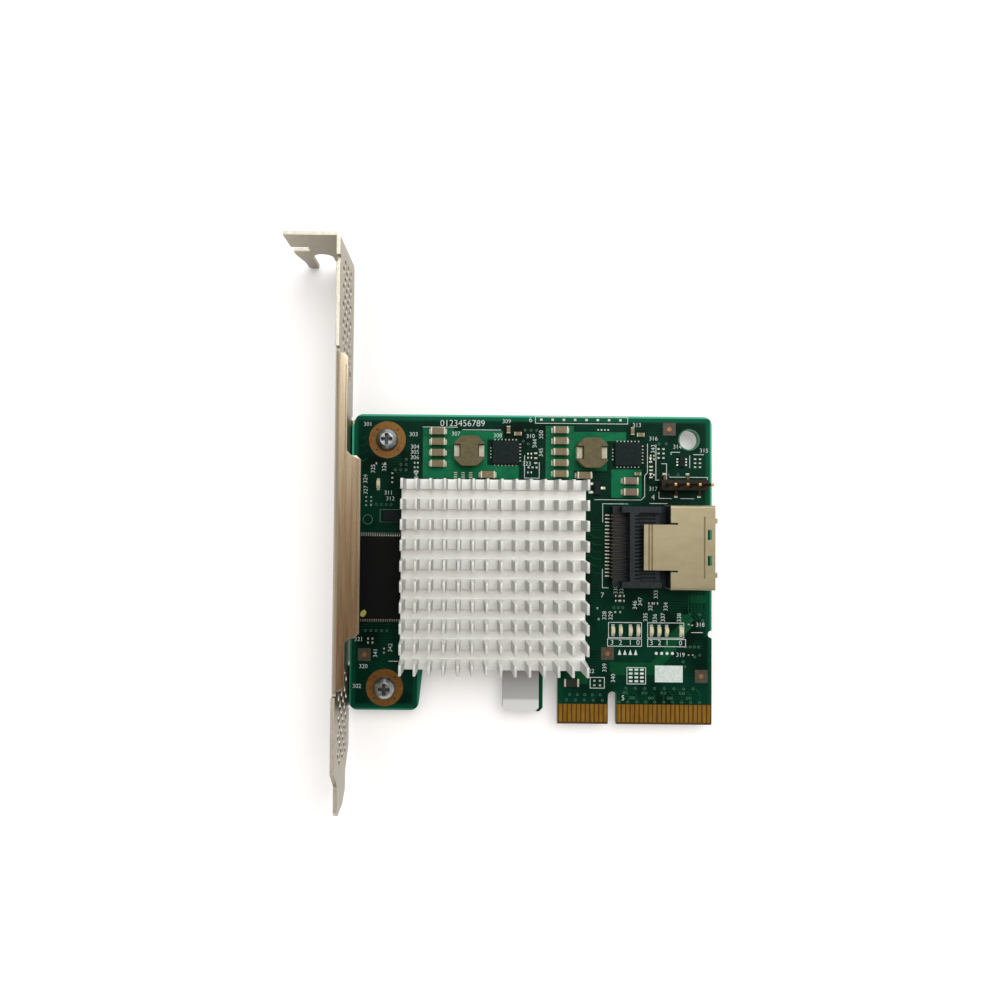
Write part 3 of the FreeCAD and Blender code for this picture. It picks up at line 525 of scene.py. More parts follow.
def film_finish():
    """Silvery film, darker at the top as painted shade, that turns bright where it curls at its low end as a
    painted highlight.
    """
    material, tree, shader = new_material("film_silver")
    shader.inputs["Metallic"].default_value = FILM_METAL
    shader.inputs["Roughness"].default_value = FILM_ROUGH
    place = add_node(tree, "ShaderNodeTexCoord", {}).outputs["Object"]
    up = add_node(tree, "ShaderNodeSeparateXYZ", {"Vector": place}).outputs["Y"]
    down = climb(tree, up, FILM_TOP * MM, FILM_LOW * MM)
    # Painted shade at the top and a painted highlight at the curl
    tones = ramp(tree, down, [(0.0, FILM_TOP_SHADE), (FILM_BEND, FILM_MIDDLE), (FILM_CURL, FILM_CURL_HIGHLIGHT)])
    tree.links.new(tones, shader.inputs["Base Color"])
    relief(tree, shader, noise(tree, FILM_WAVE, detail=PLAIN_DETAIL), FILM_RELIEF)
    return material


GREEN_RESIST = resist_finish()
POUR_RESIST = finish("pour_resist", (0.004, 0.1, 0.042), (0.008, 0.17, 0.072), spots=4.0,
                     shine=RESIST_SHINE)
TRACK_RESIST = finish("track_resist", (0.002, 0.044, 0.016), (0.004, 0.07, 0.026), spots=3.0,
                      shine=RESIST_SHINE)
HOLE_RIM = finish("hole_rim", (0.03, 0.15, 0.08), (0.06, 0.22, 0.13), spots=0.6)
VIA_RIM = finish("via_rim", (0.022, 0.1, 0.052), (0.055, 0.17, 0.095), spots=0.4)
VIA_WELL = finish("via_well", (0.001, 0.01, 0.006), (0.002, 0.02, 0.012), spots=0.4, shine=0.2)
RING_GOLD = finish("ring_gold", (0.15, 0.068, 0.014), (0.22, 0.105, 0.022), spots=0.9,
                   gloss=(0.36, 0.48), metal=0.5)
FINGER_GOLD = finish("finger_gold", (0.25, 0.13, 0.014), (0.36, 0.195, 0.028), spots=0.8, stretch=(1, 5, 1),
                     gloss=(0.34, 0.46), metal=0.7)
BARE_LAMINATE = finish("bare_laminate", (0.04, 0.036, 0.024), (0.075, 0.06, 0.04), spots=0.5)
BARE_COPPER = finish("bare_copper", (0.24, 0.1, 0.042), (0.36, 0.165, 0.075), spots=0.3, metal=0.6)
WHITE_INK = finish("white_ink", (0.5, 0.58, 0.55), (0.66, 0.73, 0.7), spots=0.7, gloss=(0.5, 0.65))
FAINT_INK = finish("faint_ink", (0.06, 0.14, 0.11), (0.12, 0.22, 0.18), spots=0.7)
NICKEL_PLAIN = finish("nickel_plain", (0.308, 0.274, 0.209), (0.334, 0.3, 0.231), spots=1.4,
                      stretch=(1, 12, 1), gloss=(0.32, 0.38), metal=1.0, grain=0.2, depth=0.002)
NICKEL_DRAWN = finish("nickel_drawn", (0.41, 0.345, 0.245), (0.47, 0.4, 0.292), spots=1.3,
                      stretch=(0.5, 16, 1), gloss=(0.22, 0.32), metal=1.0, grain=0.2, depth=0.003)
# Bare cut edges, made lighter as well by a painted highlight on faces turned up
NICKEL_CUT_AND_LIT = finish("nickel_cut_and_lit", (0.56, 0.53, 0.45), (0.68, 0.65, 0.56), spots=0.8, metal=0.8)
CREASE_SHADE = finish("crease_shade", (0.2, 0.15, 0.09), (0.28, 0.215, 0.135), spots=0.8, metal=0.8)
SCREW_ZINC = finish("screw_zinc", (0.3, 0.335, 0.35), (0.44, 0.475, 0.49), spots=0.8,
                    gloss=(0.26, 0.38), metal=1.0)
RECESS_SHADE = finish("recess_shade", (0.05, 0.065, 0.075), (0.1, 0.12, 0.13), spots=0.5, metal=0.8)
# Heatsink metal in lit and shaded copies
SINK_PALE_LIT = finish("sink_pale_lit", (0.85, 0.865, 0.84), (0.91, 0.925, 0.9), spots=2.4, stretch=(1, 4, 1),
                   gloss=(0.42, 0.55), metal=0.25, grain=0.25, depth=0.006)
SINK_SIDE_SHADE = finish("sink_side_shade", (0.52, 0.53, 0.51), (0.62, 0.63, 0.605), spots=2.4, stretch=(1, 4, 1),
                   gloss=(0.42, 0.55), metal=0.25, grain=0.25, depth=0.006)
SINK_TIP_SHADE = finish("sink_tip_shade", (0.62, 0.625, 0.605), (0.7, 0.705, 0.68), spots=1.2,
                  gloss=(0.4, 0.5), metal=0.25)
SMUDGE = finish("smudge", (0.12, 0.05, 0.06), (0.22, 0.1, 0.1), spots=0.3)
PAD_GREY = finish("pad_grey", (0.3, 0.32, 0.33), (0.38, 0.4, 0.41), gloss=(0.7, 0.8))
CHIP_LID = finish("chip_lid", (0.1, 0.1, 0.1), (0.16, 0.16, 0.16))
CHIP_BLACK = finish("chip_black", (0.005, 0.01, 0.011), (0.01, 0.018, 0.019), spots=0.5, gloss=(0.5, 0.62),
                    shine=0.1, grain=0.08, depth=0.006)
FLASH_BLACK = finish("flash_black", (0.001, 0.002, 0.002), (0.003, 0.005, 0.004), spots=0.7,
                     gloss=(0.48, 0.6), shine=0.12, grain=0.08, depth=0.005)
TIN = finish("tin", (0.48, 0.48, 0.42), (0.66, 0.66, 0.58), spots=0.4, gloss=(0.25, 0.4), metal=0.8)
SOLDER = finish("solder", (0.34, 0.36, 0.3), (0.52, 0.54, 0.47), spots=0.3, gloss=(0.28, 0.42), metal=0.4)
CORE_BROWN = finish("core_brown", (0.1, 0.084, 0.042), (0.14, 0.118, 0.062), spots=0.7, gloss=(0.5, 0.62),
                    shine=0.15, grain=0.14, depth=0.012)
JOINT_SHADE = finish("joint_shade", (0.02, 0.016, 0.01), (0.04, 0.032, 0.018), spots=0.4)
TERMINAL_TIN = finish("terminal_tin", (0.42, 0.42, 0.31), (0.54, 0.54, 0.42), spots=0.6, metal=0.1)
CERAMIC_TAN = finish("ceramic_tan", (0.145, 0.116, 0.058), (0.195, 0.16, 0.084), spots=0.6)
CERAMIC_MAUVE = finish("ceramic_mauve", (0.15, 0.105, 0.075), (0.2, 0.145, 0.105), spots=0.6)
END_CREAM = finish("end_cream", (0.48, 0.46, 0.35), (0.62, 0.6, 0.47), spots=0.3, metal=0.4)
RESISTOR_BLACK = finish("resistor_black", (0.008, 0.01, 0.01), (0.016, 0.02, 0.018), spots=0.3, shine=0.25)
FUSE_DARK = finish("fuse_dark", (0.012, 0.016, 0.01), (0.022, 0.028, 0.016), spots=0.4, shine=0.25)
PORT_BLACK = finish("port_black", (0.006, 0.011, 0.013), (0.014, 0.021, 0.025), spots=1.2,
                    gloss=(0.42, 0.55), shine=0.25, grain=0.1, depth=0.005)
SHELL_CHAMPAGNE = finish("shell_champagne", (0.325, 0.29, 0.183), (0.365, 0.326, 0.207), spots=1.8,
                         stretch=(2, 1, 1), gloss=(0.3, 0.42), metal=0.6, grain=0.2, depth=0.003)
SHELL_GROOVE_SHADE = finish("shell_groove_shade", (0.17, 0.135, 0.07), (0.23, 0.185, 0.1), spots=0.8, metal=0.6)
SHELL_STEEL = finish("shell_steel", (0.4, 0.41, 0.4), (0.56, 0.57, 0.55), spots=0.8,
                     gloss=(0.28, 0.4), metal=0.8)
CONTACT_TIN = finish("contact_tin", (0.6, 0.6, 0.53), (0.78, 0.78, 0.7), spots=0.3,
                     gloss=(0.28, 0.4), metal=0.7)
CONTACT_BRONZE_SHADE = finish("contact_bronze_shade", (0.07, 0.056, 0.038), (0.12, 0.1, 0.07), spots=0.3, metal=0.6)
HEADER_BLACK = finish("header_black", (0.009, 0.007, 0.004), (0.018, 0.014, 0.008), spots=0.8, shine=0.18)
PIN_GOLD = finish("pin_gold", (0.36, 0.21, 0.075), (0.52, 0.33, 0.13), spots=0.4,
                  gloss=(0.25, 0.36), metal=0.8)
PIN_SHADE = finish("pin_shade", (0.06, 0.036, 0.014), (0.1, 0.062, 0.026), spots=0.4, metal=0.7)
LAMP_CREAM = finish("lamp_cream", (0.58, 0.52, 0.3), (0.72, 0.66, 0.42), spots=0.3, gloss=(0.25, 0.35))
LAMP_BASE = finish("lamp_base", (0.46, 0.46, 0.36), (0.6, 0.6, 0.5), spots=0.3)
FILM_SILVER = film_finish()
YELLOW_PAINT = finish("yellow_paint", (0.36, 0.34, 0.07), (0.5, 0.48, 0.13), spots=0.4, gloss=(0.5, 0.6))


# Solids that keep their form

# Screw heads, vents, lip and inductor cores
SCREWS = [(-50.8, 63.15), (-50.8, 7.75)]
HEAD_RIM_REACH = 2.45
HEAD_RIM_LEVEL = FACE + 0.95
HEAD_RIM_ROUNDING = 0.4
HEAD_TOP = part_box("bracket_screws")[1].z / MM
RECESS_REACH = 1.4
RECESS_BELOW_TOP = 0.05
HEAD_RIM_SLACK = 0.03
VENT_CORNER = math.radians(60)
VENT_ANGLE_SLACK = 0.05
VENT_ROUNDING = 0.4
THROUGH_BLADE = 0.99
CORE_ROUNDING = 0.45
LIP_LOW = 10.5
LIP_HIGH = 79.0


def round_vents(bracket):
    """Turns each six-sided vent into a round one by rounding its corners."""

    def vent_corner(edge):
        along = (edge.verts[1].co - edge.verts[0].co).normalized()
        straight = abs(along.x) > THROUGH_BLADE and len(edge.link_faces) == 2
        return straight and abs(edge.calc_face_angle() - VENT_CORNER) < VENT_ANGLE_SLACK

    round_edges(bracket, vent_corner, VENT_ROUNDING, 3)


def on_lip(face):
    """Faces of the flange that lies along the board, seen from above."""
    return face.normal.z > MOSTLY_FACING and LIP_LOW < face.center.y / MM < LIP_HIGH


def round_corners(core):
    """Rounds the upright corners beside the two plain sides."""
    low, high = box_of(core)

    def outer_corner(edge):
        first, second = [corner.co for corner in edge.verts]
        upright = (first.xy - second.xy).length < WELD
        return upright and min(first.y - low.y, high.y - first.y) < WELD

    round_edges(core, outer_corner, CORE_ROUNDING, 3)


def dome_heads(screws):
    """Rounds each head's rim into a pan."""

    def on_rim(edge):
        for corner in edge.verts:
            reach = min((corner.co.xy / MM - Vector(middle)).length for middle in SCREWS)
            aside = abs(reach - HEAD_RIM_REACH)
            above = abs(corner.co.z / MM - HEAD_RIM_LEVEL)
            if max(aside, above) > HEAD_RIM_SLACK:
                return False
        return True

    round_edges(screws, on_rim, HEAD_RIM_ROUNDING, 4)


def in_recess(face):
    """Faces of the cross recess: near the axis and below the head's flat."""
    reach = min((face.center.xy / MM - Vector(middle)).length for middle in SCREWS)
    return reach < RECESS_REACH and FACE < face.center.z / MM < HEAD_TOP - RECESS_BELOW_TOP


bracket = eased_solid("mounting_bracket", SOFT_EDGE, NICKEL_PLAIN, round_vents, flatten=False)
# Faces turned up: partly bare cut steel, partly a painted highlight from above
paint_where(bracket, NICKEL_CUT_AND_LIT, lambda face: face.normal.z > MOSTLY_FACING)
paint_where(bracket, NICKEL_DRAWN, on_lip)
screws = eased_solid("bracket_screws", CRISP_EDGE, SCREW_ZINC, dome_heads)
# The cross recess is painted dark as its shade
paint_where(screws, RECESS_SHADE, in_recess)

FIN_EDGE = 0.09
FIN_TIP_DEEP = 0.1
# Floors painted extra light, fin sides painted as shade, and tips a painted shade darker than the floors
heatsink = eased_solid("heatsink", FIN_EDGE, SINK_PALE_LIT)
fin_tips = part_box("heatsink")[1].z - FIN_TIP_DEEP * MM
paint_where(heatsink, SINK_SIDE_SHADE, lambda face: abs(face.normal.x) > HALF_FACING)
paint_where(heatsink, SINK_TIP_SHADE, lambda face: face.center.z > fin_tips)

CONVERTER_EDGE = 0.08
eased_solid("flash_memory", SOFT_EDGE, FLASH_BLACK)
for side in ("left", "right"):
    eased_solid(f"converter_{side}", CONVERTER_EDGE, CHIP_BLACK)
    eased_solid(f"inductor_{side}", SOFT_EDGE, CORE_BROWN, round_corners)
    eased_solid(f"inductor_{side}_terminals", SOFT_EDGE, TERMINAL_TIN)
for node in ("transistor", "logic_chip", "support_chip"):
    eased_solid(node, SOFT_EDGE, CHIP_BLACK)
eased_solid("port_housing", FINE_EDGE, PORT_BLACK)

SHELL_MOUTH = 21.02
GROOVE_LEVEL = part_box("port_shell")[1].z / MM - 0.12
GROOVE_SLACK = 0.04


def in_groove(face):
    """Floor of the groove round the shell's tongue."""
    return face.normal.z > FACING and abs(face.center.z / MM - GROOVE_LEVEL) < GROOVE_SLACK


shell = eased_solid("port_shell", FINE_EDGE, SHELL_CHAMPAGNE)
# The groove floor is painted dark as its shade
paint_where(shell, SHELL_GROOVE_SHADE, in_groove)
paint_where(shell, SHELL_STEEL, lambda face: face.center.x / MM > SHELL_MOUTH)

CONTACT_BEND = FACE + 0.3
contacts = eased_solid("port_contacts", CRISP_EDGE, CONTACT_TIN)
# Contact runs above the bend: bronze, darkened as painted shade of the deep slots they lie in
paint_where(contacts, CONTACT_BRONZE_SHADE, lambda face: face.center.z / MM > CONTACT_BEND)

PIN_EDGE = 0.12
PIN_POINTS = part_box("header_pins")[1].z / MM - 0.3
eased_solid("header_base", SOFT_EDGE, HEADER_BLACK)
pins = eased_solid("header_pins", PIN_EDGE, PIN_GOLD)
paint_where(pins, PIN_SHADE, lambda face: face.center.z / MM < PIN_POINTS)

PLAIN_SOLIDS = {
    "circuit_board": GREEN_RESIST,
    "edge_contacts": FINGER_GOLD,
    "thermal_pad": PAD_GREY,
    "controller_chip": CHIP_LID,
    "flash_memory_leads": TIN,
    "transistor_leads": TIN,
    "logic_chip_leads": TIN,
    "blank_film": FILM_SILVER,
}
for node, look in PLAIN_SOLIDS.items():
    paint(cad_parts[node], look)


# Chip parts: a body between two plated ends

def chip_pattern(name, size, end_long, swell, body, ends):
    """Body along X between two plated ends that swell a little."""
    long, wide, high = size
    body_end = (long / 2 - end_long) * MM
    chip = block(name, (long - 2 * end_long, wide, high), -high / 2)
    for side in (-1, 1):
        select_faces(chip, lambda face: face.normal.x * side > FACING)
        bpy.ops.mesh.extrude_region_move(TRANSFORM_OT_translate={"value": (side * end_long * MM, 0, 0)})
        bpy.ops.transform.resize(value=(1, swell, swell), center_override=(0, 0, 0))
        bpy.ops.object.mode_set(mode="OBJECT")
    paint(chip, body)
    paint_where(chip, ends, lambda face: abs(face.center.x) > body_end)
    ease(chip, FINE_EDGE)
    return chip


def lamp_pattern(size, base_high, lens_share):
    """Lens on a base that shows at both ends."""
    long, wide, high = size
    base_top = (base_high - high / 2) * MM
    lamp = block("lamp", (long, wide, base_high), -high / 2)
    select_faces(lamp, lambda face: face.normal.z > FACING)
    bpy.ops.mesh.extrude_region_move()
    bpy.ops.transform.resize(value=(*lens_share, 1), center_override=(0, 0, 0))
    bpy.ops.mesh.extrude_region_move(TRANSFORM_OT_translate={"value": (0, 0, (high - base_high) * MM)})
    bpy.ops.object.mode_set(mode="OBJECT")
    paint(lamp, LAMP_BASE)
    paint_where(lamp, LAMP_CREAM, lambda face: face.center.z > base_top + WELD)
    ease(lamp, CRISP_EDGE)
    return lamp


def fitted(pattern, name, low, high):
    """Copy of a chip pattern that fills the given box, turned to the box's longer side."""
    size = high - low
    own = pattern.dimensions
    piece = twin(pattern, name)
    upright = size.y > size.x
    long, wide = (size.y, size.x) if upright else (size.x, size.y)
    piece.rotation_euler.z = math.pi / 2 if upright else 0
    piece.scale = (long / own.x, wide / own.y, size.z / own.z)
    piece.location = (low + high) / 2
    return piece


def loose_boxes(node):
    """Boxes of the separate solids in one node."""
    pick(merged_copy(node, node + "_split"))
    bpy.ops.mesh.separate(type="LOOSE")
    boxes = []
    for part in list(bpy.context.selected_objects):
        boxes.append(box_of(part))
        bpy.data.objects.remove(part)
    return boxes


def chips_for(pattern, nodes):
    """One dressed piece for each node, with a copy of the pattern for each of its solids."""
    for node in nodes:
        parts = [fitted(pattern, node + "_dressed", low, high) for low, high in loose_boxes(node)]
        whole = join(parts, node + "_dressed")
        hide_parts(node)
        carry(whole)
    bpy.data.objects.remove(pattern)


BROWNER = ["bypass_capacitor_3", "bypass_capacitor_4"]
BANKS = {"input": 4, "output": 5, "bypass": 2}
TAN_CAPACITORS = [f"{bank}_capacitor_{index + 1}"
                  for bank, count in BANKS.items() for index in range(count)]
LAMPS = [f"{row}_led_{index}" for row in ("fault", "activity") for index in range(4)] + ["power_led"]

# Size, length of a plated end and its swell, for each kind of chip
CERAMIC = ((3.2, 1.5, 1.42), 0.3, 1.06)
RESISTOR = ((1.0, 0.48, 0.33), 0.22, 1.06)
FUSE = ((3.3, 1.7, 0.58), 0.4, 1.04)

# Lamps: the lens takes a share of its base
LAMP_SIZE = (1.7, 0.85, 0.6)
LAMP_BASE_HIGH = 0.3
LENS_SHARE = (0.53, 0.92)

chips_for(chip_pattern("ceramic", *CERAMIC, CERAMIC_TAN, END_CREAM), TAN_CAPACITORS + ["chip_capacitors"])
chips_for(chip_pattern("brown_ceramic", *CERAMIC, CERAMIC_MAUVE, END_CREAM), BROWNER)
chips_for(chip_pattern("resistor", *RESISTOR, RESISTOR_BLACK, TIN), ["chip_resistors"])
chips_for(chip_pattern("fuse", *FUSE, FUSE_DARK, END_CREAM), ["chip_fuse"])
chips_for(lamp_pattern(LAMP_SIZE, LAMP_BASE_HIGH, LENS_SHARE), LAMPS)


# Copper under and over the resist

RING_OUTER = 4.15
RING_INNER = 1.75
ring_outlines = [outline for middle in SCREWS for outline in ring(*middle, RING_OUTER, RING_INNER)]
flat("ring_pads", ring_outlines, RING_RISE, RING_GOLD)

SPARE_HOLE = (17.05, 63.7)
SPARE_RIM_OUTER = 2.42
SPARE_RIM_INNER = 2.17
spare_rim = ring(*SPARE_HOLE, SPARE_RIM_OUTER, SPARE_RIM_INNER)
flat("spare_hole_rim", spare_rim, TRACE_RISE, HOLE_RIM)

POURS = [
    [(-42.8, 54.6), (-21.2, 54.6), (-21.2, 57.6), (-28.3, 57.6), (-28.3, 63.4), (-24.8, 63.4), (-24.8, 65.3),
     (-35.9, 65.3), (-35.9, 65.9), (-42.8, 65.9)],
    [(-15.2, 54.6), (-8.9, 54.6), (-8.9, 56.6), (-1.4, 56.6), (-1.4, 63.3), (2.9, 63.3), (2.9, 65.3),
     (-8.9, 65.3), (-8.9, 66.6), (-15.2, 66.6)],
    rectangle(-0.4, 50.6, 6.4, 56.9),
]
DIM_POURS = [
    [(-0.6, 13.8), (8.6, 13.8), (11.4, 16.8), (11.8, 19.2), (14.8, 22.2), (14.8, 24.6), (17.6, 24.6),
     (17.6, 21.6), (14.3, 18.2), (14.3, 16.6), (10.4, 12.4), (8.8, 11.0), (0.4, 11.0), (-0.6, 12.0)],
    rectangle(-10.6, 9.0, -5.4, 13.2),
    rectangle(17.4, 27.2, 20.9, 28.9),
]
flat("copper_pours", POURS, POUR_RISE, POUR_RESIST)
flat("dim_pours", DIM_POURS, POUR_RISE, TRACK_RESIST)
flat("copper_pours_behind", POURS + DIM_POURS, POUR_RISE, TRACK_RESIST, BACK)


def row(across, up, count, step_across, step_up):
    """Places in a line, each one step on from the last."""
    return [(across + index * step_across, up + index * step_up) for index in range(count)]


def field(across, up, columns, step_across, count, step_up):
    """Upright rows of places, side by side."""
    starts = row(across, up, columns, step_across, 0)
    return [place for start in starts for place in row(*start, count, 0, step_up)]


def shifted(path, count, step_across, step_up):
    """Copies of a path, each moved on by one step."""
    return [[(across + index * step_across, up + index * step_up) for across, up in path]
            for index in range(count)]


TRACK_WIDE = 0.2
TRACKS = (
    shifted([(1.5, 4.6), (1.5, 6.6), (0.6, 7.5)], 5, 4, 0)
    + shifted([(3.5, 4.6), (3.5, 7.2), (2.6, 8.1)], 5, 4, 0)
    + shifted([(-2.4, 33.6), (-4.0, 33.6), (-5.2, 34.4), (-6.6, 34.4)], 7, 0, 1.6)
    + shifted([(17.0, 29.0), (17.0, 24.6), (18.4, 23.2)], 5, 0.7, 0.29)
    + shifted([(-57.0, 58.4), (-55.9, 58.4), (-55.3, 59.0)], 4, 0, 1.7)
)
flat("tracks", [stroke(path, TRACK_WIDE) for path in TRACKS], TRACE_RISE, TRACK_RESIST)

VIA_REACH = 0.31
VIA_RING = 0.13
VIA_DIMPLE = 0.02
VIA_SIDES = 10


def via_pattern():
    """Plated barrel through the board, with a dimple at each end."""
    deep = FACE - BACK + 2 * TRACE_RISE
    bpy.ops.mesh.primitive_cylinder_add(vertices=VIA_SIDES, radius=VIA_REACH * MM, depth=deep * MM)
    barrel = bpy.context.object
    barrel.name = "via"
    select_faces(barrel, lambda face: abs(face.normal.z) > FACING)
    bpy.ops.mesh.inset(thickness=VIA_RING * MM, use_individual=True)
    sunk = (deep - 2 * VIA_DIMPLE) / deep
    bpy.ops.transform.resize(value=(1, 1, sunk), center_override=(0, 0, 0))
    bpy.ops.object.mode_set(mode="OBJECT")
    paint(barrel, VIA_RIM)
    paint_where(barrel, VIA_WELL, lambda face: len(face.vertices) == VIA_SIDES)
    return barrel


VIAS = (
    row(-48.9, 56.4, 3, 1.2, 0) + row(-47.7, 57.6, 2, 1.2, 0) + row(-46.5, 58.8, 1, 0, 0)
    + row(-42.2, 64.9, 8, 0, -1.3) + row(-36.8, 64.9, 8, 0, -1.3)
    + row(-14.7, 65.8, 8, 0, -1.35) + row(-9.4, 65.8, 7, 0, -1.35)
    + row(-27.9, 56.9, 3, 1.9, 0) + row(-0.2, 64.6, 3, 1.1, 0) + row(-0.1, 56.4, 2, 1.5, 0)
    + row(3.0, 8.1, 8, 2.15, 0) + row(2.6, 7.1, 4, 4.2, 0) + row(3.3, 7.1, 4, 4.2, 0)
    + row(4.1, 6.0, 4, 4.2, 0) + row(4.8, 6.0, 4, 4.2, 0) + row(1.5, 5.1, 10, 2, 0)
    + row(-9.5, 6.6, 5, 1.7, 0) + row(-10.2, 5.4, 5, 2, 0)
    + row(17.2, 24.6, 2, 2.3, 0) + row(17.6, 23.3, 2, 2.6, 0) + row(16.4, 17.4, 4, 0.95, 0)
    + row(15.8, 14.1, 2, 0.4, -1.1) + row(19.5, 15.6, 2, -1.1, -0.4) + row(0.3, 26.0, 3, 1.0, 0)
    + row(-54.2, 48.6, 5, 1.1, 0) + row(-55.2, 20.4, 5, 1.2, 0) + row(-47.6, 20.0, 1, 0, 0)
    + row(10.3, 62.8, 2, 1.6, 0) + row(12.4, 55.9, 2, 2.2, 0) + row(18.2, 47.0, 1, 0, 0)
    + row(-20.2, 63.1, 3, 1.1, -0.6) + row(-19.8, 65.6, 3, 1.3, 0)
)
copies(via_pattern(), [(across, up, (1, 1)) for across, up in VIAS], "vias")

RING_VIA_OFFSET = 2.3
RING_VIA_REACH = 0.2
ring_vias = [disc(across + side * RING_VIA_OFFSET, up + end * RING_VIA_OFFSET, RING_VIA_REACH, VIA_SIDES)
             for across, up in SCREWS for side in (-1, 1) for end in (-1, 1)]
flat("ring_vias", ring_vias, RING_RISE + SINK, VIA_WELL)

FIDUCIALS = [(12.61, 66.08), (19.84, 10.87), (-1.08, 15.76), (-55.39, 15.03)]
WINDOW_REACH = 1.42
DOT_REACH = 0.5
windows = [rectangle(across - WINDOW_REACH, up - WINDOW_REACH, across + WINDOW_REACH, up + WINDOW_REACH)
           for across, up in FIDUCIALS]
dots = [disc(across, up, DOT_REACH) for across, up in FIDUCIALS]
flat("fiducial_windows", windows, TRACE_RISE, BARE_LAMINATE)
flat("fiducial_dots", dots, RING_RISE, BARE_COPPER)


# Solder lands

LAND_ROUNDING = 0.02
CAPACITOR_LAND = (0.46, 1.15)
CAPACITOR_LAND_REACH = 1.76
LAMP_LAND = (0.7, 0.55)
LAMP_LAND_REACH = 1.05


def land_pattern():
    """Domed land of one millimetre square, to be drawn to size."""
    land = block("land", (1, 1, PAD_RISE + SINK), FACE - SINK)
    select_faces(land, lambda face: face.normal.z > FACING)
    bpy.ops.mesh.bevel(offset=LAND_ROUNDING * MM, segments=2, affect="EDGES")
    bpy.ops.object.mode_set(mode="OBJECT")
    paint(land, SOLDER)
    return land


def lands(places, size):
    """One land of the given size at each place."""
    return [(across, up, size) for across, up in places]


def pair(node, reach, size, upright=False):
    """Two lands at equal reach from the middle of a node's box."""
    low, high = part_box(node)
    middle = (low + high) / 2 / MM
    if upright:
        return lands([(middle.x, middle.y - reach), (middle.x, middle.y + reach)], size)
    return lands([(middle.x - reach, middle.y), (middle.x + reach, middle.y)], size)


LANDS = (
    lands(row(-40.6, 54.3, 4, 1.15, 0), (0.42, 0.3))
    + lands(row(-27.5, 61.5, 4, 0, -0.7), (0.26, 0.24)) + lands(row(-26.6, 63.4, 7, 0.8, 0), (0.22, 0.3))
    + lands(row(-26.6, 57.6, 7, 0.8, 0), (0.22, 0.3)) + lands(row(-20.9, 62.4, 6, 0, -0.75), (0.4, 0.2))
    + lands(row(-0.1, 61.4, 4, 0, -0.75), (0.26, 0.24)) + lands(row(0.9, 63.25, 7, 0.8, 0), (0.22, 0.3))
    + lands(row(0.9, 57.45, 7, 0.8, 0), (0.22, 0.3)) + lands(row(6.6, 62.2, 6, 0, -0.75), (0.4, 0.2))
    + lands([(11.5, 55.9), (16.7, 55.9), (14.1, 51.0), (19.3, 51.0)], (0.8, 0.6))
    + lands([(-5.0, 53.65), (-5.0, 51.75), (-2.25, 52.7)], (1.0, 0.6))
    + lands(row(8.4, 59.6, 2, 0, -0.9), (0.7, 0.4)) + lands(row(8.5, 57.6, 4, 0, -0.8), (0.8, 0.34))
    + lands(row(-17.4, 60.4, 3, 0, -1.1), (0.7, 0.36)) + lands(row(-19.0, 57.2, 3, 0.9, 0), (0.4, 0.4))
    + lands(field(-35.4, 55.9, 3, 1.7, 4, -0.5), (0.75, 0.22))
    + lands(row(-16.2, 68.0, 8, 2.54, 0), (0.55, 0.5))
    + lands(field(-4.0, 8.7, 2, 1.25, 2, 1.0), (0.5, 0.42))
    + lands(row(0.6, 25.0, 2, 1.1, 0), (0.4, 0.42)) + lands(row(-3.4, 25.8, 2, 0.3, -2.4), (0.35, 0.5))
    + lands(field(-44.6, 58.0, 2, 0.7, 3, -1.0), (0.36, 0.4))
    + lands(row(-3.4, 65.8, 4, 0.75, 0), (0.34, 0.3)) + lands(field(10.2, 61.6, 2, 1.1, 3, -1.0), (0.5, 0.36))
    + lands(field(18.4, 59.4, 2, 1.1, 3, -0.9), (0.5, 0.32))
    + lands(row(-53.2, 57.8, 2, 1.9, 0), (0.32, 0.45))
    + lands(field(-55.4, 50.2, 2, 1.1, 3, -0.9), (0.4, 0.34))
    + lands(field(-54.6, 18.6, 2, 1.0, 2, -0.9), (0.36, 0.5))
    + lands(row(-51.0, 16.4, 2, 0, -0.9), (0.4, 0.36)) + lands(row(17.0, 22.4, 2, 0.8, -0.2), (0.4, 0.3))
    + lands(row(-49.6, 55.6, 3, 0, -1.0), (0.4, 0.3)) + lands(row(17.0, 15.6, 2, 0.9, 0), (0.34, 0.3))
)
for node in TAN_CAPACITORS + BROWNER:
    LANDS += pair(node, CAPACITOR_LAND_REACH, CAPACITOR_LAND)
for node in LAMPS:
    LANDS += pair(node, LAMP_LAND_REACH, LAMP_LAND, upright=True)
copies(land_pattern(), LANDS, "solder_lands")


# White print: outlines, generic numbers and plain marks

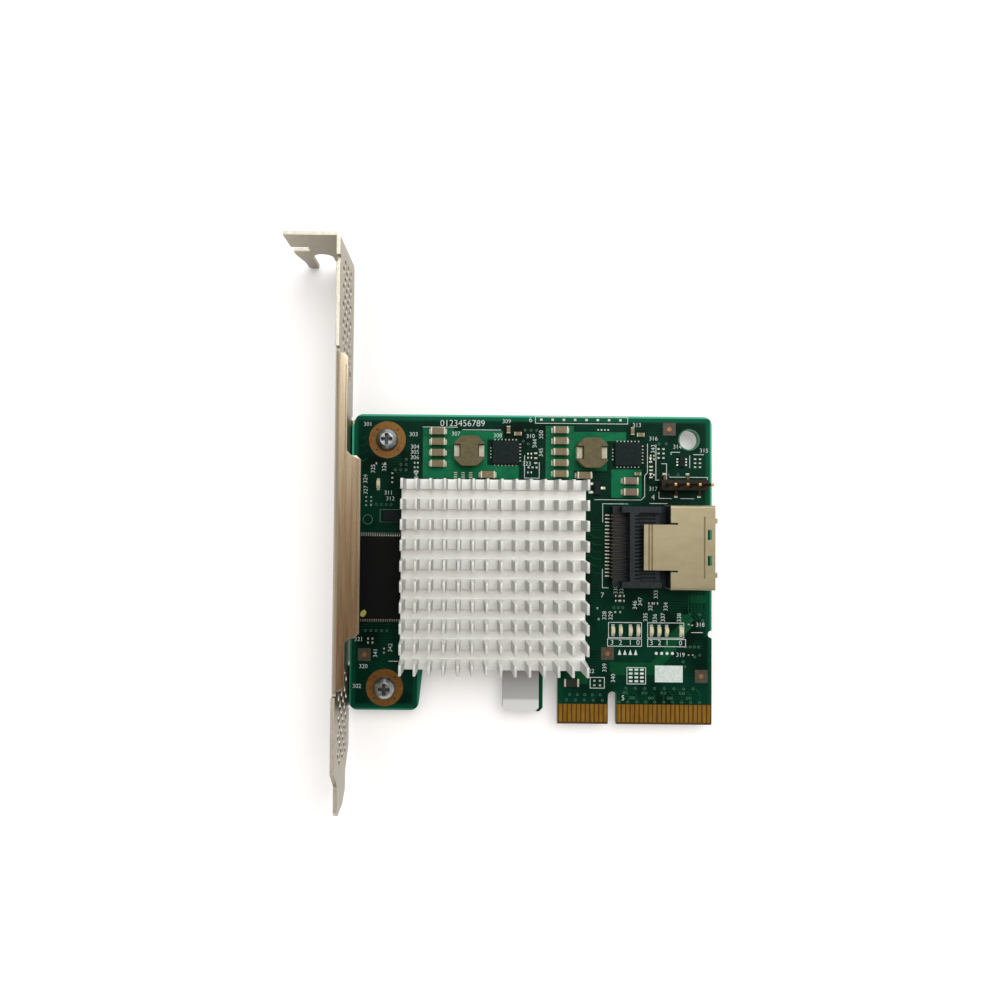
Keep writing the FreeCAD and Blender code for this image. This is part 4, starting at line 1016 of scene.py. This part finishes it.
LINE = 0.13
OUTLINES = (
    framed(-17.6, 67.1, 3.3, 68.75, LINE)
    + framed(-0.95, 19.25, 6.55, 22.75, LINE) + framed(-1.15, 17.35, 6.55, 19.1, LINE)
    + framed(7.8, 19.25, 16.0, 22.75, LINE) + framed(7.8, 17.35, 16.4, 19.1, LINE)
    + framed(3.2, 9.0, 7.5, 12.75, LINE) + framed(-5.0, 8.0, -1.7, 10.5, LINE)
)
FAINT_OUTLINES = framed(-52.3, 44.6, -46.2, 47.5, LINE) + ring(-55.0, 45.2, 1.12, 0.98, 24)
PRINT_PATHS = [
    [(-4.2, 50.1), (6.3, 50.1), (7.1, 50.9), (7.1, 55.6), (7.7, 56.2), (7.7, 62.8)],
    [(-34.0, 65.55), (-25.2, 65.55)],
    [(-42.9, 66.1), (-35.0, 66.1)],
    [(10.3, 52.0), (10.3, 50.5), (13.2, 50.5)],
    [(15.0, 50.5), (18.2, 50.5)],
    [(12.6, 55.3), (21.2, 55.3), (21.2, 53.4)],
    [(-2.3, 34.6), (-2.3, 30.4), (-0.9, 30.4)],
    [(-2.3, 45.0), (-2.3, 49.2), (3.4, 49.2)],
    [(8.2, 49.35), (12.2, 49.35)],
    [(13.0, 60.3), (13.0, 60.9), (15.0, 60.9)],
    [(17.2, 60.2), (17.2, 57.4)],
    [(20.4, 60.4), (18.0, 60.4)],
    [(9.6, 62.6), (9.6, 54.6), (12.0, 54.6), (12.0, 58.3), (10.8, 58.3)],
    [(-19.9, 59.9), (-19.9, 54.8), (-16.6, 54.8), (-16.6, 58.4)],
    [(-50.0, 13.6), (-47.8, 13.6)],
    [(17.6, 20.6), (20.2, 20.6)],
]
print_lines = [stroke(path, LINE) for path in PRINT_PATHS]
flat("print_outlines", OUTLINES + print_lines, PRINT_RISE, WHITE_INK)
flat("faint_outlines", FAINT_OUTLINES, PRINT_RISE, FAINT_INK)

BLANK_PANEL = rectangle(9.5, 9.5, 15.7, 13.2)
MARKS = [BLANK_PANEL]
MARKS += shifted([(1.2, 15.5), (2.0, 15.5), (1.6, 16.7)], 4, 1.2, 0)
MARKS += shifted(disc(9.8, 15.9, 0.34, 12), 4, 1.2, 0)
for across, up in row(3.7, 9.45, 3, 1.25, 0):
    MARKS += shifted(rectangle(across, up, across + 0.8, up + 0.45), 4, 0, 0.85)
flat("print_marks", MARKS, MARK_RISE, WHITE_INK)

TEXT_SCALE = 1.4
TEXT_THINNING = 0.012
TEXT_CURVE_STEPS = 3


def number(text, across, up, height, turn=0):
    """Printed number, level or turned, with its middle at the given place."""
    bpy.ops.object.text_add()
    words = bpy.context.object
    words.data.body = text
    words.data.size = height * TEXT_SCALE
    words.data.align_x = "CENTER"
    words.data.align_y = "CENTER"
    words.data.extrude = (PRINT_RISE + SINK) / 2
    words.data.offset = -TEXT_THINNING
    words.data.resolution_u = TEXT_CURVE_STEPS
    bpy.ops.object.convert(target="MESH")
    words = bpy.context.object
    words.scale = (MM, MM, MM)
    words.rotation_euler.z = math.radians(turn)
    words.location = (across * MM, up * MM, (FACE + (PRINT_RISE - SINK) / 2) * MM)
    return words


SINGLE_DIGITS = [
    ("3", -0.1, 18.2), ("2", 1.8, 18.2), ("1", 4.0, 18.2), ("0", 5.7, 18.2),
    ("3", 8.7, 18.2), ("2", 10.5, 18.2), ("1", 12.2, 18.2), ("0", 15.2, 18.2),
    ("4", 9.0, 50.7), ("7", -2.3, 28.7), ("5", 2.4, 5.9), ("6", -18.6, 67.9),
]
LEVEL_PLACES = [
    (-55.2, 66.6), (-57.0, 8.0), (-44.9, 64.4), (-44.6, 61.6), (-44.6, 60.4), (-44.6, 59.2), (-35.4, 64.6),
    (-26.0, 64.3), (-24.0, 67.5), (-18.6, 64.2), (-50.4, 51.2), (-50.0, 49.9), (5.3, 66.9),
    (14.4, 62.1), (20.4, 61.3), (9.0, 63.9), (9.0, 52.6), (19.6, 22.3), (15.2, 15.6), (-55.6, 12.4),
    (-56.7, 18.4), (-5.0, 11.8), (-19.4, 58.0),
]
UPRIGHT_PLACES = [
    (-55.6, 54.3), (-53.9, 56.6), (-51.4, 57.0), (-55.5, 51.8), (-1.8, 24.2), (-0.4, 24.2), (0.7, 30.0),
    (2.0, 30.0), (8.5, 26.3), (9.7, 29.0), (11.9, 26.3), (7.4, 23.9), (9.5, 23.7), (11.3, 23.9),
    (14.9, 23.9), (-1.7, 12.6), (0.2, 10.3), (-52.9, 15.4), (-49.6, 16.6), (9.0, 61.6), (-17.6, 62.6),
    (-16.2, 60.6), (5.0, 26.6), (6.2, 27.4), (-44.2, 55.4), (-8.0, 52.3), (-16.2, 64.6),
]
FIRST_NUMBER = 301
NUMBER_HIGH = 0.95
DIGIT_HIGH = 1.15
DIGIT_ROW_HIGH = 1.45
DIGIT_ROW_PLACE = (-33.9, 66.95)
printed = [number(text, across, up, DIGIT_HIGH) for text, across, up in SINGLE_DIGITS]
printed.append(number("0123456789", *DIGIT_ROW_PLACE, DIGIT_ROW_HIGH))
for index, (across, up) in enumerate(LEVEL_PLACES + UPRIGHT_PLACES):
    turn = 0 if index < len(LEVEL_PLACES) else 90
    printed.append(number(str(FIRST_NUMBER + index), across, up, NUMBER_HIGH, turn))
numbers = join(printed, "print_numbers")
weld(numbers)
paint(numbers, WHITE_INK)
carry(numbers)


# Painted shade: lines round the inductors' terminals and along the crease of the bracket's lip

JOINT = 0.16
TERMINAL_LONG = 1.27


def joint(box, side):
    """Line of painted shade round a terminal where it meets the core, on the left or the right."""
    low, high = [corner / MM for corner in box]
    outer = low.x if side < 0 else high.x
    inner = outer - side * TERMINAL_LONG
    top = high.y - JOINT / 2
    bottom = low.y + JOINT / 2
    return stroke([(outer, top), (inner, top), (inner, bottom), (outer, bottom)], JOINT)


terminals = [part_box(f"inductor_{side}_terminals") for side in ("left", "right")]
joints = [joint(box, side) for box in terminals for side in (-1, 1)]
TERMINAL_TOP = terminals[0][1].z / MM
# Painted shade in the gaps between the terminals and the cores
flat("terminal_gap_shade", joints, PRINT_RISE, JOINT_SHADE, TERMINAL_TOP)

LIP_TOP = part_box("mounting_bracket")[1].z / MM
# Dark line along the crease in the lip, painted as its shade
CREASE = rectangle(-57.67, 57.5, -57.53, 77.0)
flat("lip_crease_shade", [CREASE], PRINT_RISE, CREASE_SHADE, LIP_TOP)


# Marks left by hand

FLASH_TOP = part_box("flash_memory")[1].z / MM
DAB = [(-56.3, 23.9), (-55.7, 23.5), (-55.1, 24.0), (-54.9, 24.7), (-55.3, 25.2), (-55.8, 25.0),
       (-56.2, 24.6)]
flat("paint_dab", [DAB], PRINT_RISE, YELLOW_PAINT, FLASH_TOP)

SINK_FLOOR = FACE + 5.1
SPECK = [(-35.2, 17.9), (-34.7, 17.7), (-34.2, 17.9), (-34.3, 18.3), (-34.8, 18.2), (-35.1, 18.4)]
flat("sink_speck", [SPECK], PRINT_RISE, SMUDGE, SINK_FLOOR)


# Studio: floor, light and camera

FLOOR_SIDE = 4.0
FLOOR_PALE = (0.93, 0.93, 0.93)
FLOOR_GLOW = 0.2
FLOOR_ROUGH = 0.9
FLOOR_SHINE = 0.1
WHITE = (1, 1, 1)


def either(tree, first, second):
    return arithmetic(tree, "MAXIMUM", first, second)


def floor_finish():
    """Pale floor that glows a little to the eye, to metal and through glass."""
    material, tree, shader = new_material("studio_floor")
    shader.inputs["Base Color"].default_value = opaque(FLOOR_PALE)
    shader.inputs["Roughness"].default_value = FLOOR_ROUGH
    shader.inputs["Specular IOR Level"].default_value = FLOOR_SHINE
    shader.inputs["Emission Color"].default_value = opaque(WHITE)
    path = add_node(tree, "ShaderNodeLightPath", {})
    seen = either(tree, path.outputs["Is Camera Ray"],
                  either(tree, path.outputs["Is Glossy Ray"], path.outputs["Is Transmission Ray"]))
    tree.links.new(arithmetic(tree, "MULTIPLY", seen, FLOOR_GLOW), shader.inputs["Emission Strength"])
    return material


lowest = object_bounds()[0][2]
bpy.ops.mesh.primitive_plane_add(size=FLOOR_SIDE, location=(0, 0, lowest))
floor = bpy.context.object
floor.name = "studio_floor"
settle(floor)
paint(floor, floor_finish())

ROOM_PALE = (0.64, 0.64, 0.65)
CEILING_DIM = (0.185, 0.08, 0.029)
CEILING_HALF = (0.39, 0.245, 0.135)
CEILING_BRIGHT = (0.75, 0.71, 0.62)
CEILING_STARTS = (0.72, 0.92)
NEAR_TO_FAR = (-0.3, 0.25)
SOFTBOX_AIM = (-0.02, 0.04, 0)
SOFTBOX_SIDE = 0.5


def room_light():
    """Pale room whose ceiling is dim and warm on the near side and bright on the far side."""
    world = bpy.data.worlds.new("studio_room")
    bpy.context.scene.world = world
    world.use_nodes = True
    tree = world.node_tree
    direction = add_node(tree, "ShaderNodeTexCoord", {}).outputs["Generated"]
    split = add_node(tree, "ShaderNodeSeparateXYZ", {"Vector": direction})
    overhead = climb(tree, split.outputs["Z"], *CEILING_STARTS)
    far = climb(tree, split.outputs["Y"], *NEAR_TO_FAR)
    ceiling = ramp(tree, far, [(0.0, CEILING_DIM), (0.5, CEILING_HALF), (1.0, CEILING_BRIGHT)])
    colour = blend(tree, overhead, opaque(ROOM_PALE), ceiling)
    tree.links.new(colour, tree.nodes["Background"].inputs["Color"])


def softbox(name, place, power):
    """Square lamp, place in metres, turned to the middle of the board."""
    lamp = bpy.data.lights.new(name, "AREA")
    lamp.shape = "SQUARE"
    lamp.size = SOFTBOX_SIDE
    lamp.energy = power
    box = bpy.data.objects.new(name, lamp)
    bpy.context.scene.collection.objects.link(box)
    box.location = place
    box.rotation_euler = (Vector(SOFTBOX_AIM) - Vector(place)).to_track_quat("-Z", "Y").to_euler()


room_light()
softbox("key_softbox", (-0.22, 0.34, 0.5), power=0.6)
softbox("top_softbox", (0.14, 0.32, 0.58), power=2.3)

# Camera as fitted to the known sizes of the bracket and the card edge
CAMERA_PLACE = (-34.117, 48.889, 156.805)
CAMERA_TURN = (1.33880, 0.03556, 0.52694)
view = bpy.data.cameras.new("photo_camera")
view.sensor_width = 36.0
view.lens = 25.015
view.shift_x = 0.03947
view.shift_y = -0.01247
view.clip_start = 0.005
camera = bpy.data.objects.new("photo_camera", view)
bpy.context.scene.collection.objects.link(camera)
camera.location = [axis * MM for axis in CAMERA_PLACE]
camera.rotation_euler = [math.radians(turn) for turn in CAMERA_TURN]
bpy.context.scene.camera = camera
bpy.context.scene.view_settings.view_transform = "Standard"
